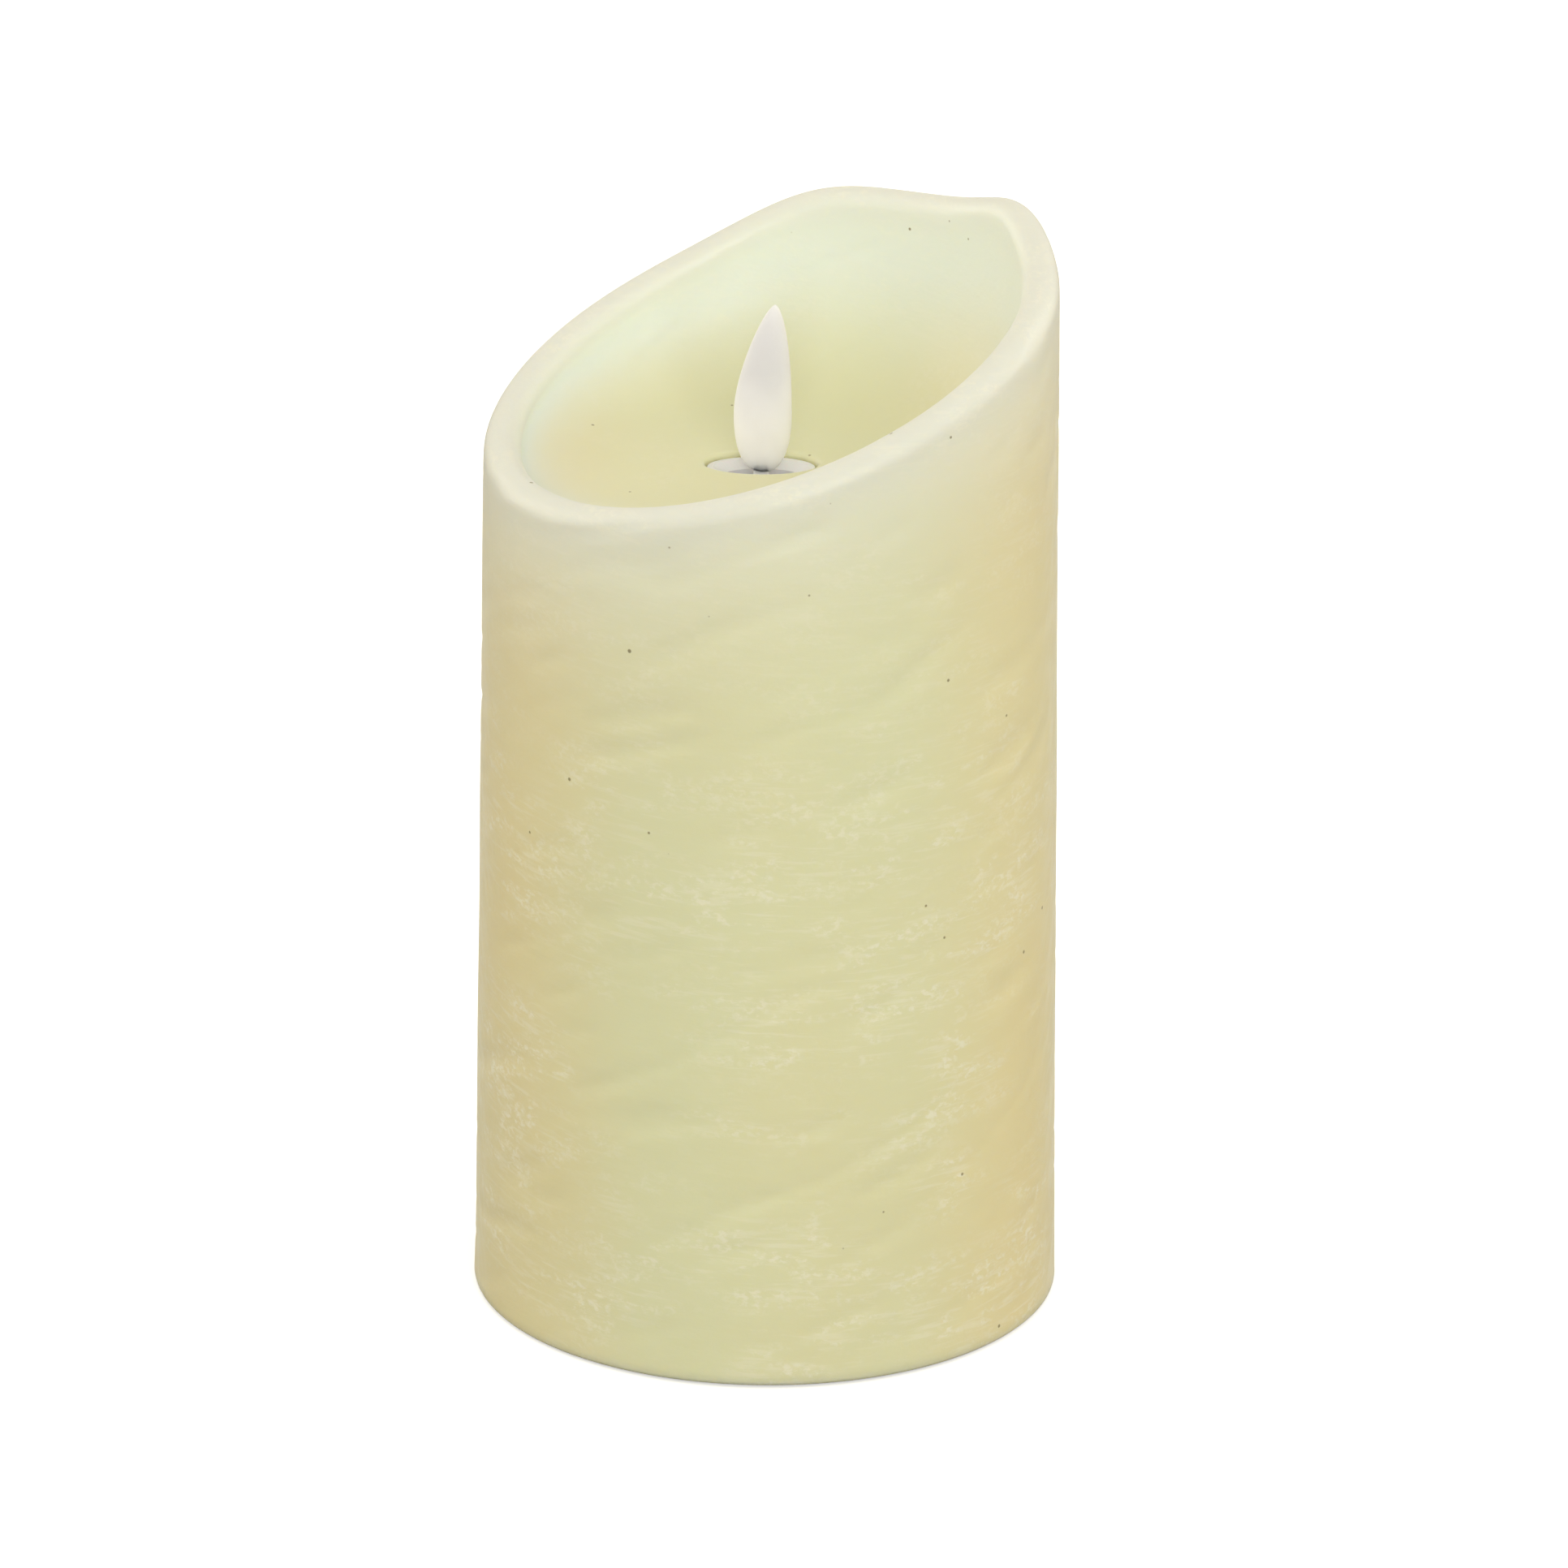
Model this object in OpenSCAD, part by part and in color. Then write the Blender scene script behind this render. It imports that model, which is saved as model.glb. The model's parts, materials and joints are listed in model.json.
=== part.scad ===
// Battery candle with a swinging flame: a wax shell glued on a plastic core, which holds the flame
// module, the circuit board and the battery tray with its door. Millimetres, +Z up, -Y at the front,
// origin on the axis at the level of the table.

/* [Wax shell] */
// Diameter of the wax at its foot
candle_d = 90; // [88:1:120]
// Height of the highest point of the rim
candle_h = 170; // [140:1:220]
// Draft of the wax and of the core, in degrees
draft = 0.5; // [0:0.1:1]
// Thickness of the wax beside the core, at its foot
wax_wall = 7; // [5:0.5:7.5]
// Height of the wax above the table
wax_lift = 0.3; // [0.1:0.1:0.6]
// How far the rim rises and falls from its middle height
rim_slope = 15; // [0:1:18]
// Direction of the high side of the rim, in degrees from +X
rim_high_at = 26.5; // [0:0.5:359.5]
// Height of the two lobes that stand on the slope of the rim
lobe_h = 3; // [0:0.5:5]
// Direction of the lobe at the back, in degrees from +X
back_lobe_at = 81.5; // [60:0.5:110]
// Half width of the lobe at the back, in degrees
back_lobe_w = 19.5; // [10:0.5:30]
// Direction of the lobe on the high side, in degrees from +X
side_lobe_at = 25; // [10:0.5:45]
// Half width of the lobe on the high side, in degrees
side_lobe_w = 15; // [10:0.5:25]
// Radius of the rim's outer edge
lip_r = 3.2; // [2:0.1:3.4]
// Radius of the rim's inner edge
lip_inner_r = 1.6; // [0.5:0.1:2]

/* [Dish] */
// Depth of the dish below the highest point of the rim
dish_depth = 36; // [35:1:45]
// Thickness of the wax under the dish
dish_wall = 5.5; // [4:0.5:8]
// Radius of the level middle of the dish
dish_flat_r = 13; // [11:1:20]
// Fullness of the dish between its middle and its wall, 2 is a quarter ellipse
dish_fullness = 2.3; // [2:0.1:4]
// Offset of the flame and its opening from the axis
flame_x = -1.5; // [-3:0.5:3]
// Radius of the edge of the opening
hole_edge_r = 0.8; // [0.4:0.1:1.5]
// Gap between the wax and the collar in its opening
hole_gap = 0.4; // [0.3:0.1:0.8]

/* [Flame] */
// Height of the flame from its foot to its tip
flame_h = 27; // [20:0.5:34]
// Depth of the flame's foot below the dish
flame_sink = 1.6; // [0:0.1:2]
// Width of the flame
flame_w = 9.1; // [7:0.1:12]
// Thickness of the flame
flame_t = 3.2; // [2.8:0.1:4]
// Sideways lean of the flame's tip
flame_lean = 1.9; // [0:0.1:3]
// Width of the stem below the flame
stem_w = 3.8; // [3:0.1:4.5]
// Thickness of the stem
stem_t = 2.6; // [2:0.1:3]
// Depth of the pivot below the dish
pivot_drop = 9.5; // [8.5:0.5:12]
// Swing of the flame to each side, in degrees
flame_swing = 12; // [5:1:15]
// Diameter of the pivot wire
wire_d = 0.7; // [0.5:0.1:1]
// Gap all round between the wire and the flame
wire_gap = 0.08; // [0.03:0.01:0.1]
// Diameter of the magnet
magnet_d = 6; // [4:0.5:7]
// Height of the magnet
magnet_h = 3; // [2:0.5:4]
// Distance of the magnet's middle below the pivot
magnet_drop = 20.5; // [18:0.5:25]

/* [Flame module] */
// Thickness of the module's walls
module_wall = 1.6; // [1.2:0.1:2]
// Free space all round the swinging magnet
swing_gap = 1.3; // [0.8:0.1:2]
// Length of the oval collar
collar_x = 16.4; // [14:0.2:20]
// Width of the oval collar
collar_y = 8.8; // [7.6:0.2:11]
// Width of the level rim round the collar's mouth
collar_rim = 0.9; // [0.5:0.1:1.2]
// Depth of the mouth, which slopes from the rim to the slot
mouth_depth = 1.2; // [0.4:0.1:2]
// Length of the slot that the flame swings in
slot_x = 11; // [10:0.2:13]
// Width of the slot
slot_y = 4.8; // [4.4:0.1:6]
// Height of the dish above the collar
collar_step = 0.8; // [0.2:0.1:2]
// Diameter of the coil
coil_d = 18; // [14:0.5:20]
// Height of the coil with its bobbin
coil_h = 8.5; // [6:0.5:10]
// Diameter of the lamp's lens
led_d = 5; // [3:0.5:5]
// Length of the lamp with its lens
led_l = 8.6; // [6:0.2:9]
// Tilt of the lamp towards the flame, in degrees
led_tilt = 12; // [8:1:15]

/* [Core and base] */
// Thickness of the core's wall
core_wall = 1.6; // [1.2:0.1:2]
// Thickness of the core's top
core_top_t = 2; // [1.5:0.1:3]
// Gap for the glue between the wax and the core
glue_gap = 0.35; // [0.2:0.05:0.6]
// Height of the foot ring
foot_h = 0.8; // [0.5:0.1:1.2]
// Width of the foot ring
foot_w = 2.4; // [1.5:0.1:3]
// Thickness of the base plate
plate_t = 1.8; // [1.7:0.1:2.4]
// Diameter of the base screws
base_screw_d = 2.5; // [2:0.1:3]
// Length of the base screws under their heads
base_screw_l = 10; // [8:0.5:12]
// Diameter of the small screws in the module and the board
small_screw_d = 2; // [1.6:0.1:2.2]

/* [Batteries] */
// Diameter of an AA cell
cell_d = 14.5; // [12:0.1:14.5]
// Length of an AA cell with its nub
cell_l = 50.5; // [49:0.1:51]
// Gap beside each cell
cell_gap = 0.45; // [0.2:0.05:0.8]
// Length of a battery spring when a cell is in
spring_l = 4.6; // [3:0.1:6]
// Thickness of the battery door
door_t = 1.6; // [1.2:0.1:1.7]
// Gap round the battery door
door_gap = 0.3; // [0.2:0.05:0.5]
// Travel of the switch from off to either side
switch_travel = 2; // [1.5:0.1:2.5]

/* [Electronics] */
// Length of the circuit board
board_l = 38; // [36:1:44]
// Width of the circuit board
board_w = 26; // [26:1:32]
// Thickness of the circuit board
board_t = 1.6; // [0.8:0.2:2]
// Outer diameter of a wire
wire_od = 1.2; // [0.8:0.1:1.4]

/* [Hidden] */
$fn = 64;
e = 0.01; // overshoot of a cut past a face

// Levels, from the table up
plate_top = foot_h + plate_t;
dish_z = candle_h - dish_depth;
wax_under_z = dish_z - dish_wall;
core_top_z = wax_under_z - glue_gap;
ceiling_z = core_top_z - core_top_t;
collar_top_z = dish_z - collar_step;
pivot_z = dish_z - pivot_drop;

// Wax shell
rim_mid = candle_h - rim_slope - lobe_h;
wax_bevel = 0.6;
hole_x = collar_x + 2 * hole_gap;
hole_y = collar_y + 2 * hole_gap;
wax_steps = 96;

// Core: three bosses take the base screws, and a spigot on the base centres it
core_r = candle_d / 2 - wax_wall - glue_gap;
inner_r = core_r - core_wall;
plate_r = core_r - 0.05;
foot_r = core_r - 0.4;
thread_gap = 0.05; // all round a screw that cuts its own thread
screw_gap = 0.25; // all round a screw in a clear hole
head_gap = 0.3; // all round a screw's head
recess_share = 0.6; // how much of a screw's head its cross takes, across and down
boss_angles = [45, 135, 270];
boss_r = base_screw_d / 2 + 2.15;
boss_h = base_screw_l + 3;
boss_gap = 0.1;
boss_rib_w = 2;
head_r = base_screw_d / 2 + 1.35;
head_h = 1.8;
cup_r = head_r + 1.5;
cup_floor = plate_top + 0.8; // where the heads seat
cup_top = cup_floor + 1.8;
boss_at = inner_r - cup_r - 0.5;
spigot_h = 4.5;
spigot_t = 1.3;
spigot_gap = 0.25;
spigot_r = inner_r - (plate_top + spigot_h) * tan(draft) - spigot_gap;
boss_cut_r = cup_r + 1.1;

// Battery compartment
contact_t = 0.35;
bump_h = 0.6;
bump_r = 2.2;
box_wall = 1.5;
box_corner_r = 2;
box_y = -2;
box_l = cell_l + bump_h + spring_l + 2 * contact_t;
box_w = 2 * cell_d + 3 * cell_gap;
cell_pitch = cell_d + cell_gap;
cell_lift = 1;
cell_z = foot_h + door_t + cell_lift + cell_d / 2;
cell_end = box_l / 2 - contact_t - bump_h - cell_l; // the flat end that a spring presses on
box_top = cell_z + cell_d / 2 + 0.6;
tray_top = box_top + box_wall;
nub_r = 2.75;
nub_h = 1;
contact_w = 9;
contact_h = 10;
tab_w = 3;
tab_gap = 0.2;
tab_top = tray_top + 2;
spring_wire = 0.7;
spring_turns = 4;
spring_big_r = 4;
spring_small_r = 2.4;

// Battery door: it turns on its round edge, and two hooks hold that edge in the plate
door_l = box_l - 2.4;
door_w = box_w - 2 * door_gap - 0.15;
door_z = foot_h;
door_r = door_t / 2;
door_corner_r = 1.2;
hinge_x = door_l / 2 - door_r;
hinge_z = door_z + door_r;
hook_w = 1.8;
hook_t = 1;
hook_lift = 0.1;
hook_root = 2.2;
hook_end = box_l / 2 - 0.25;
door_rib = [1.2, door_w - 4, 0.4];
door_rib_x = [-14, 0, 14];
latch_w = 10;
latch_l = 8;
slit = 0.9;
grooves = 4;
groove_w = 0.7;
groove_pitch = 1.5;
groove_depth = 0.4;

// Slide switch
switch_y = 21.5;
switch_size = [12.6, 6.2, 5];
frame_t = 0.3;
frame_z = plate_top + 0.1;
switch_fit = 0.05;
rail = [1.8, 4, 6];
rail_x = switch_size[0] / 2 + 0.1;
knob = [3.6, 2.6];
knob_z = foot_h + 0.3;
knob_groove = 0.4;
window_gap = 0.5;
frame_window_gap = 0.3;
carriage = [5.2, 3.4, 1.8];
carriage_gap = 0.2;
carriage_z = frame_z + frame_t + 0.4;
pin_x = [-4, 0, 4];
pin = [0.8, 0.5, 3.5];
pin_z = frame_z + switch_size[2] - 0.3;

// Circuit board, and what stands on it: places are in the board's own plane
board_y = -2;
board_lift = 4;
board_z = tray_top + board_lift;
board_top = board_z + board_t;
board_holes = [for (s = [-1, 1]) [s * (board_l / 2 - 3.5), board_y + s * (board_w / 2 - 3)]];
board_post_r = 2.4;
small_screw_r = small_screw_d / 2;
small_head_r = small_screw_r + 0.9;
small_head_h = 1.3;
board_screw_l = board_t + 3;
chip = [5, 4, 1.5];
chip_at = [-7, -1];
chip_leg = [0.4, 1, 0.25];
chip_leg_pitch = 1.27;
chip_legs = 4;
capacitor_size = [2.5, 9];
capacitor_at = [9, -3];
crystal_size = [1.05, 6];
crystal_at = [-12, -10];
resistor = [2, 1.25, 0.6];
resistor_at = [-3, -12];
resistor_pitch = [3.2, 3];
transistor = [2.9, 1.4, 1.1];
transistor_at = [[1.5, 3.4], [6.5, 3.4]];

// Flame
flame_steps = 16;
flame_sides = 24;
flame_z = dish_z - flame_sink;
magnet_gap = 0.05;
cup_wall = 0.85;
cup_cap = 1;
flame_cup_r = magnet_d / 2 + magnet_gap + cup_wall;
magnet_z = pivot_z - magnet_drop; // the middle of the magnet
sweep_r = norm([flame_cup_r, magnet_drop + magnet_h / 2]);

// Flame module: a tower round the swinging magnet, on a drum round the coil
bay_x = (magnet_drop + magnet_h / 2) * sin(flame_swing) + flame_cup_r + swing_gap / 2;
bay_y = flame_cup_r + swing_gap;
coil_top_z = pivot_z - sweep_r - swing_gap;
coil_bottom_z = coil_top_z - coil_h;
module_bottom_z = coil_bottom_z - module_wall;
coil_fit = 0.2;
drum_r = coil_d / 2 + coil_fit + module_wall;
drum_top_z = coil_top_z + module_wall;
tower_x = bay_x + module_wall;
tower_front = bay_y + module_wall;
tower_corner_r = 2;
led_aim_y = slot_y / 2 - 0.5; // where the lamp points, at the level of the collar's top
led_tip_z = pivot_z - 3.5;
led_base_z = led_tip_z - led_l * cos(led_tilt);
led_base_y = led_aim_y + (collar_top_z - led_base_z) * tan(led_tilt);
led_flange_r = led_d / 2 + 0.4;
led_flange_h = 1;
led_gap = 0.1;
tower_back = led_base_y + led_flange_r + module_wall;
lead_pitch = 2.54;
lead_w = 0.5;
lead_l = 5;
lead_space_w = lead_pitch + 2.6;
lead_end = [0, led_base_y + lead_l * sin(led_tilt), led_base_z - lead_l * cos(led_tilt)];
lead_exit = [lead_end[2] - 3.2, lead_end[2] - 0.2];
lug_x = tower_x + 3.2;
lug_r = 3;
lug_t = 2.5;
lug_top_z = ceiling_z - 6;
lug_screw_l = lug_t + 4;
clamp_seat_x = 4;
clamp_screw_l = 7;
clamp_points = [[led_base_y + 2.4, pivot_z - 0.6], [-tower_front - 2, drum_top_z + 4]];
clamp_boss_r = small_screw_r + 1.6;
pivot_wire_l = 2 * (bay_y + 1.8);
bobbin_core_r = 3.5;
bobbin_bore_r = 1.5;
flange_t = 0.8;
winding_gap = 0.05;
winding_r = coil_d / 2 - 0.6;

// Wires: every end stands on a pin, a pad, a tab or a lead
wire_sides = 8;
wire_fine = 4;
// A wire's last stretch, which stands straight on its pad
wire_end = 1;
wire_hole_r = wire_od / 2 + 0.4;
coil_wire_x = [-3, 3];
coil_wire_y = -6.5;
battery_pads = [[-16.5, -5], [-16.5, 6.5]];
switch_pad_y = board_y + board_w / 2 - 1.8;
coil_pads = [[-12, 6], [-6, 6]];
led_pads = [[10.5, 5], [13.5, 5]];
half_way_z = (board_top + module_bottom_z) / 2;

// ---------------------------------------------------------------- shapes

function unit(v) = v / norm(v);
function turned(a) = (a + 540) % 360 - 180; // the same angle, from -180 to 180
function lobe(a, at, w) = lobe_h * exp(-pow(turned(a - at) / w, 2));
function rim_z(a) = rim_mid + rim_slope * cos(a - rim_high_at)
    + lobe(a, back_lobe_at, back_lobe_w) + lobe(a, side_lobe_at, side_lobe_w);
function wax_r(z) = candle_d / 2 - z * tan(draft);
function cavity_r(z) = wax_r(z) - wax_wall;
function oval_r(x, y, a) = x * y / 2 / norm([y * cos(a), x * sin(a)]);

// A closed skin over rings of points, each ring anticlockwise about the way they follow one another
module skin(rings) {
    n = len(rings[0]);
    m = len(rings);
    side = [for (i = [0:m - 2], j = [0:n - 1]) let (a = i * n + j, b = i * n + (j + 1) % n)
        each [[a, a + n, b + n], [a, b + n, b]]];
    first = [[for (j = [0:n - 1]) j]];
    last = [[for (j = [0:n - 1]) m * n - 1 - j]];
    polyhedron([for (r = rings, p = r) p], concat(side, first, last), convexity = 6);
}

// Points of a smooth line through the points p
function smooth(p, fine) = concat(
    [for (i = [0:len(p) - 2], k = [0:fine - 1]) let (
        t = k / fine, a = p[max(i - 1, 0)], b = p[i], c = p[i + 1], d = p[min(i + 2, len(p) - 1)])
        b + t * ((c - a) / 2 + t * (a - 2.5 * b + 2 * c - d / 2 + t * (1.5 * (b - c) + (d - a) / 2)))],
    [p[len(p) - 1]]);

// A round tube along the line p, whose ends are cut square to it
module tube(p, d) {
    lean = [0.31, 0.87, -0.38];
    last = len(p) - 1;
    skin([for (i = [0:last]) let (
        t = unit(p[min(i + 1, last)] - p[max(i - 1, 0)]), u = unit(cross(t, lean)), v = cross(t, u))
        [for (k = [0:wire_sides - 1]) let (a = 360 * k / wire_sides)
            p[i] + d / 2 * (cos(a) * u + sin(a) * v)]]);
}

module wire(points) tube(smooth(points, wire_fine), wire_od);

// A block with round corners along Z
module rounded_block(size, r) {
    translate([r, 0, 0]) cube([size[0] - 2 * r, size[1], size[2]]);
    translate([0, r, 0]) cube([size[0], size[1] - 2 * r, size[2]]);
    for (x = [r, size[0] - r], y = [r, size[1] - r])
        translate([x, y, 0]) cylinder(size[2], r = r);
}

module oval(x, y, h) linear_extrude(h)
    polygon([for (a = [0:7.5:352.5]) [x / 2 * cos(a), y / 2 * sin(a)]]);

// A tube whose outside follows the draft of the core
module drafted(r, z0, z1) translate([0, 0, z0])
    cylinder(z1 - z0, r1 = r - z0 * tan(draft), r2 = r - z1 * tan(draft), $fn = 128);

// A pan-head screw with a cross recess: its head seats at z = 0, and its shank goes up
module screw(shank_r, shank_l, head_r, head_h) difference() {
    arm = head_r * recess_share;
    union() {
        translate([0, 0, -head_h / 2]) cylinder(shank_l + head_h / 2, r = shank_r, $fn = 32);
        translate([0, 0, -head_h]) cylinder(head_h, r = head_r, $fn = 48);
    }
    for (a = [0, 90]) rotate(a)
        translate([-arm, -arm / 5, -head_h - e]) cube([2 * arm, arm * 0.4, head_h * recess_share]);
}

// Places children at each of the three bosses
module at_bosses() for (a = boss_angles) rotate(a) translate([boss_at, 0, 0]) children();

// ---------------------------------------------------------------- wax and core

// The outline of the wax at the angle a, from the foot up, over the rim and down to the foot again
function wax_outline(a) = let (
        h = rim_z(a), rc = wax_r(h) - lip_r, ri = rc - lip_inner_r, zi = h - lip_inner_r,
        q = 2 / dish_fullness, hole = oval_r(hole_x, hole_y, a)) concat(
    [[wax_r(0) - wax_bevel, wax_lift], [wax_r(0), wax_lift + wax_bevel]],
    [for (t = [0:15:90]) [rc + lip_r * cos(t), h - lip_r + lip_r * sin(t)]],
    [for (t = [110:20:170]) [rc + lip_inner_r * cos(t), h - lip_inner_r + lip_inner_r * sin(t)]],
    [for (t = [90:-9:9]) [dish_flat_r + (ri - dish_flat_r) * pow(sin(t), q),
        dish_z + (zi - dish_z) * (1 - pow(cos(t), q))]],
    [[dish_flat_r, dish_z], [hole + hole_edge_r, dish_z],
        [hole + 0.3 * hole_edge_r, dish_z - 0.3 * hole_edge_r], [hole, dish_z - hole_edge_r],
        [hole, wax_under_z], [cavity_r(wax_under_z), wax_under_z], [cavity_r(0), wax_lift]]);

module wax_shell() color("#e0dbad") {
    n = len(wax_outline(0));
    angles = [for (i = [0:wax_steps - 1]) 360 * i / wax_steps];
    hole = [n - 6, n - 3]; // the first and last point of the opening, which is centred on the flame
    points = [for (a = angles) let (outline = wax_outline(a)) for (i = [0:n - 1]) let (p = outline[i])
        [p[0] * cos(a) + (i >= hole[0] && i <= hole[1] ? flame_x : 0), p[0] * sin(a), p[1]]];
    faces = [for (i = [0:wax_steps - 1], j = [0:n - 1]) let (k = (i + 1) % wax_steps, l = (j + 1) % n)
        [i * n + j, i * n + l, k * n + l, k * n + j]];
    polyhedron(points, faces, convexity = 10);
}

module core_boss() translate([0, 0, cup_top + boss_gap]) {
    cylinder(boss_h, r = boss_r);
    translate([0, -boss_rib_w / 2, 0]) cube([inner_r - boss_at, boss_rib_w, boss_h]);
}

module core_housing() color("white") difference() {
    union() {
        difference() {
            drafted(core_r, plate_top, core_top_z);
            drafted(inner_r, plate_top - 1, ceiling_z);
        }
        at_bosses() core_boss();
        at_lugs() cylinder(ceiling_z - lug_top_z + e, r = lug_r);
    }
    translate([flame_x, 0, ceiling_z - 1]) oval(collar_x + hole_gap, collar_y + hole_gap, core_top_t + 2);
    at_bosses() translate([0, 0, cup_top]) cylinder(boss_h - 1, r = base_screw_d / 2 + thread_gap);
    at_lugs() translate([0, 0, -e]) cylinder(lug_screw_l, r = small_screw_r + thread_gap);
}

// ---------------------------------------------------------------- base

module base_tray() color("#e8e6da") difference() {
    union() {
        translate([0, 0, foot_h]) cylinder(plate_t, r = plate_r, $fn = 128);
        foot_ring();
        spigot();
        translate([-box_l / 2 - box_wall, box_y - box_w / 2 - box_wall, foot_h])
            rounded_block([box_l + 2 * box_wall, box_w + 2 * box_wall, tray_top - foot_h], box_corner_r);
        at_bosses() translate([0, 0, foot_h]) cylinder(cup_top - foot_h, r = cup_r);
        for (p = board_holes)
            translate([p[0], p[1], tray_top - e]) cylinder(board_lift + e, r = board_post_r);
        // the rails that hold the switch
        for (s = [0, 1]) mirror([s, 0, 0]) translate([rail_x, switch_y - rail[1] / 2, foot_h]) cube(rail);
    }
    // the compartment, and the opening under it
    translate([-box_l / 2, box_y - box_w / 2, plate_top]) cube([box_l, box_w, box_top - plate_top]);
    translate([0, box_y - door_w / 2 - door_gap, -e]) {
        door_opening = [door_l / 2 + door_gap, door_w + 2 * door_gap, plate_top + 2 * e];
        cube(door_opening);
        translate([-door_opening[0], 0, 0]) rounded_block(door_opening + [4, 0, 0], door_corner_r + door_gap);
    }
    // the slots that the contacts' tabs stand in
    for (s = [-1, 1]) translate([-box_l / 2, box_y + s * cell_pitch / 2 - tab_w / 2 - tab_gap, box_top - 1])
        cube([contact_t + tab_gap, tab_w + 2 * tab_gap, box_wall + 2]);
    at_bosses() {
        translate([0, 0, -e]) cylinder(cup_floor + e, r = head_r + head_gap);
        cylinder(cup_top + 1, r = base_screw_d / 2 + screw_gap);
    }
    for (p = board_holes) translate([p[0], p[1], board_z - board_lift + 0.2])
        cylinder(board_lift, r = small_screw_r + thread_gap);
    translate([-knob[0] / 2 - switch_travel - window_gap, switch_y - knob[1] / 2 - window_gap, 0])
        cube([knob[0] + 2 * (switch_travel + window_gap), knob[1] + 2 * window_gap, plate_top + 1]);
}

module foot_ring() difference() {
    cylinder(foot_h + e, r = foot_r, $fn = 128);
    translate([0, 0, -e]) cylinder(foot_h + 3 * e, r = foot_r - foot_w, $fn = 128);
}

// The short tube that centres the core
module spigot() difference() {
    translate([0, 0, foot_h]) cylinder(plate_t + spigot_h, r = spigot_r, $fn = 128);
    cylinder(plate_top + spigot_h + 1, r = spigot_r - spigot_t, $fn = 128);
    at_bosses() translate([0, 0, plate_top]) cylinder(spigot_h + 1, r = boss_cut_r);
}

module base_screws() color("silver") at_bosses()
    translate([0, 0, cup_floor]) screw(base_screw_d / 2, base_screw_l, head_r, head_h);

module battery_door() color("#e8e6da") difference() {
    union() {
        translate([0, box_y - door_w / 2, door_z]) {
            cube([hinge_x, door_w, door_t]);
            translate([-door_l / 2, 0, 0]) rounded_block([door_l / 2 + 4, door_w, door_t], door_corner_r);
            translate([hinge_x, 0, door_r]) rotate([-90, 0, 0]) cylinder(door_w, r = door_r);
        }
        for (y = [0, door_w - hook_w])
            translate([hinge_x - hook_root, box_y - door_w / 2 + y, hinge_z]) door_hook();
        for (x = door_rib_x)
            translate([x - door_rib[0] / 2, box_y - door_rib[1] / 2, door_z + door_t - e]) cube(door_rib);
    }
    // the slits that free the latch, and its finger grooves
    translate([-door_l / 2, box_y, door_z]) {
        for (y = [-latch_w / 2, latch_w / 2 - slit])
            translate([-1, y, -1]) cube([latch_l + 1, slit, door_t + 2]);
        for (i = [1:grooves]) translate([groove_pitch * i, -latch_w / 2 + groove_pitch, -e])
            cube([groove_w, latch_w - 2 * groove_pitch, groove_depth]);
    }
}

// A hook that stands on the door by its round edge and reaches over the plate
module door_hook() {
    over = plate_top + hook_lift - hinge_z;
    cube([hook_root, hook_w, over + hook_t]);
    translate([0, 0, over]) cube([hook_end - hinge_x + hook_root, hook_w, hook_t]);
}

module cell() color("#2f6f8f") rotate([0, 90, 0]) {
    cylinder(cell_l - nub_h, r = cell_d / 2, $fn = 96);
    translate([0, 0, cell_l - nub_h - e]) cylinder(nub_h + e, r = nub_r);
}

module battery_front() translate([cell_end, box_y - cell_pitch / 2, cell_z]) cell();
module battery_back() translate([-cell_end, box_y + cell_pitch / 2, cell_z]) rotate(180) cell();

// Sheet metal on the compartment's left wall: the plate, its solder tab, and the bump that a nub meets
module on_wall(y, z) translate([-box_l / 2, y, z]) children();
module contact_plate(y, w) on_wall(y - w / 2, cell_z - contact_h / 2) cube([contact_t, w, contact_h]);
module contact_tab(y) on_wall(y - tab_w / 2, cell_z) cube([contact_t, tab_w, tab_top - cell_z]);
module contact_bump(y) on_wall(y, cell_z) rotate([0, 90, 0]) cylinder(contact_t + bump_h, r = bump_r);

module contact_positive() color("silver") {
    contact_plate(box_y + cell_pitch / 2, contact_w);
    contact_tab(box_y + cell_pitch / 2);
    contact_bump(box_y + cell_pitch / 2);
}
module contact_negative() color("silver") {
    contact_plate(box_y - cell_pitch / 2, contact_w);
    contact_tab(box_y - cell_pitch / 2);
}
module contact_link() color("silver") mirror([1, 0, 0]) {
    contact_plate(box_y, cell_pitch + contact_w);
    contact_bump(box_y - cell_pitch / 2);
}

// A conical spring that stands on the left wall's contact, at the level y
module battery_spring(y) color("silver") translate([-box_l / 2 + contact_t, y, cell_z]) {
    rise = spring_l - spring_wire;
    steps = 14 * spring_turns;
    skin([for (i = [0:steps]) let (
        t = i / steps, a = 360 * spring_turns * t, r = spring_big_r - (spring_big_r - spring_small_r) * t,
        out = [0, cos(a), sin(a)], round = 2 * PI * r * [0, -sin(a), cos(a)],
        along = unit(round + [rise / spring_turns, 0, 0]),
        side = cross(along, out), c = [spring_wire / 2 + rise * t, 0, 0] + r * out)
        [for (k = [0:wire_sides - 1]) let (b = 360 * k / wire_sides)
            c + spring_wire / 2 * (cos(b) * out + sin(b) * side)]]);
}
module spring_front() battery_spring(box_y - cell_pitch / 2);
module spring_back() rotate(180) battery_spring(-box_y - cell_pitch / 2);

// ---------------------------------------------------------------- switch

// A block of the given size that stands over the middle of the switch
module over_switch(size, z) translate([-size[0] / 2, switch_y - size[1] / 2, z]) cube(size);
module switch_slot(size, gap, z, h)
    over_switch([size[0] + 2 * (switch_travel + gap), size[1] + 2 * gap, h], z);

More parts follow.
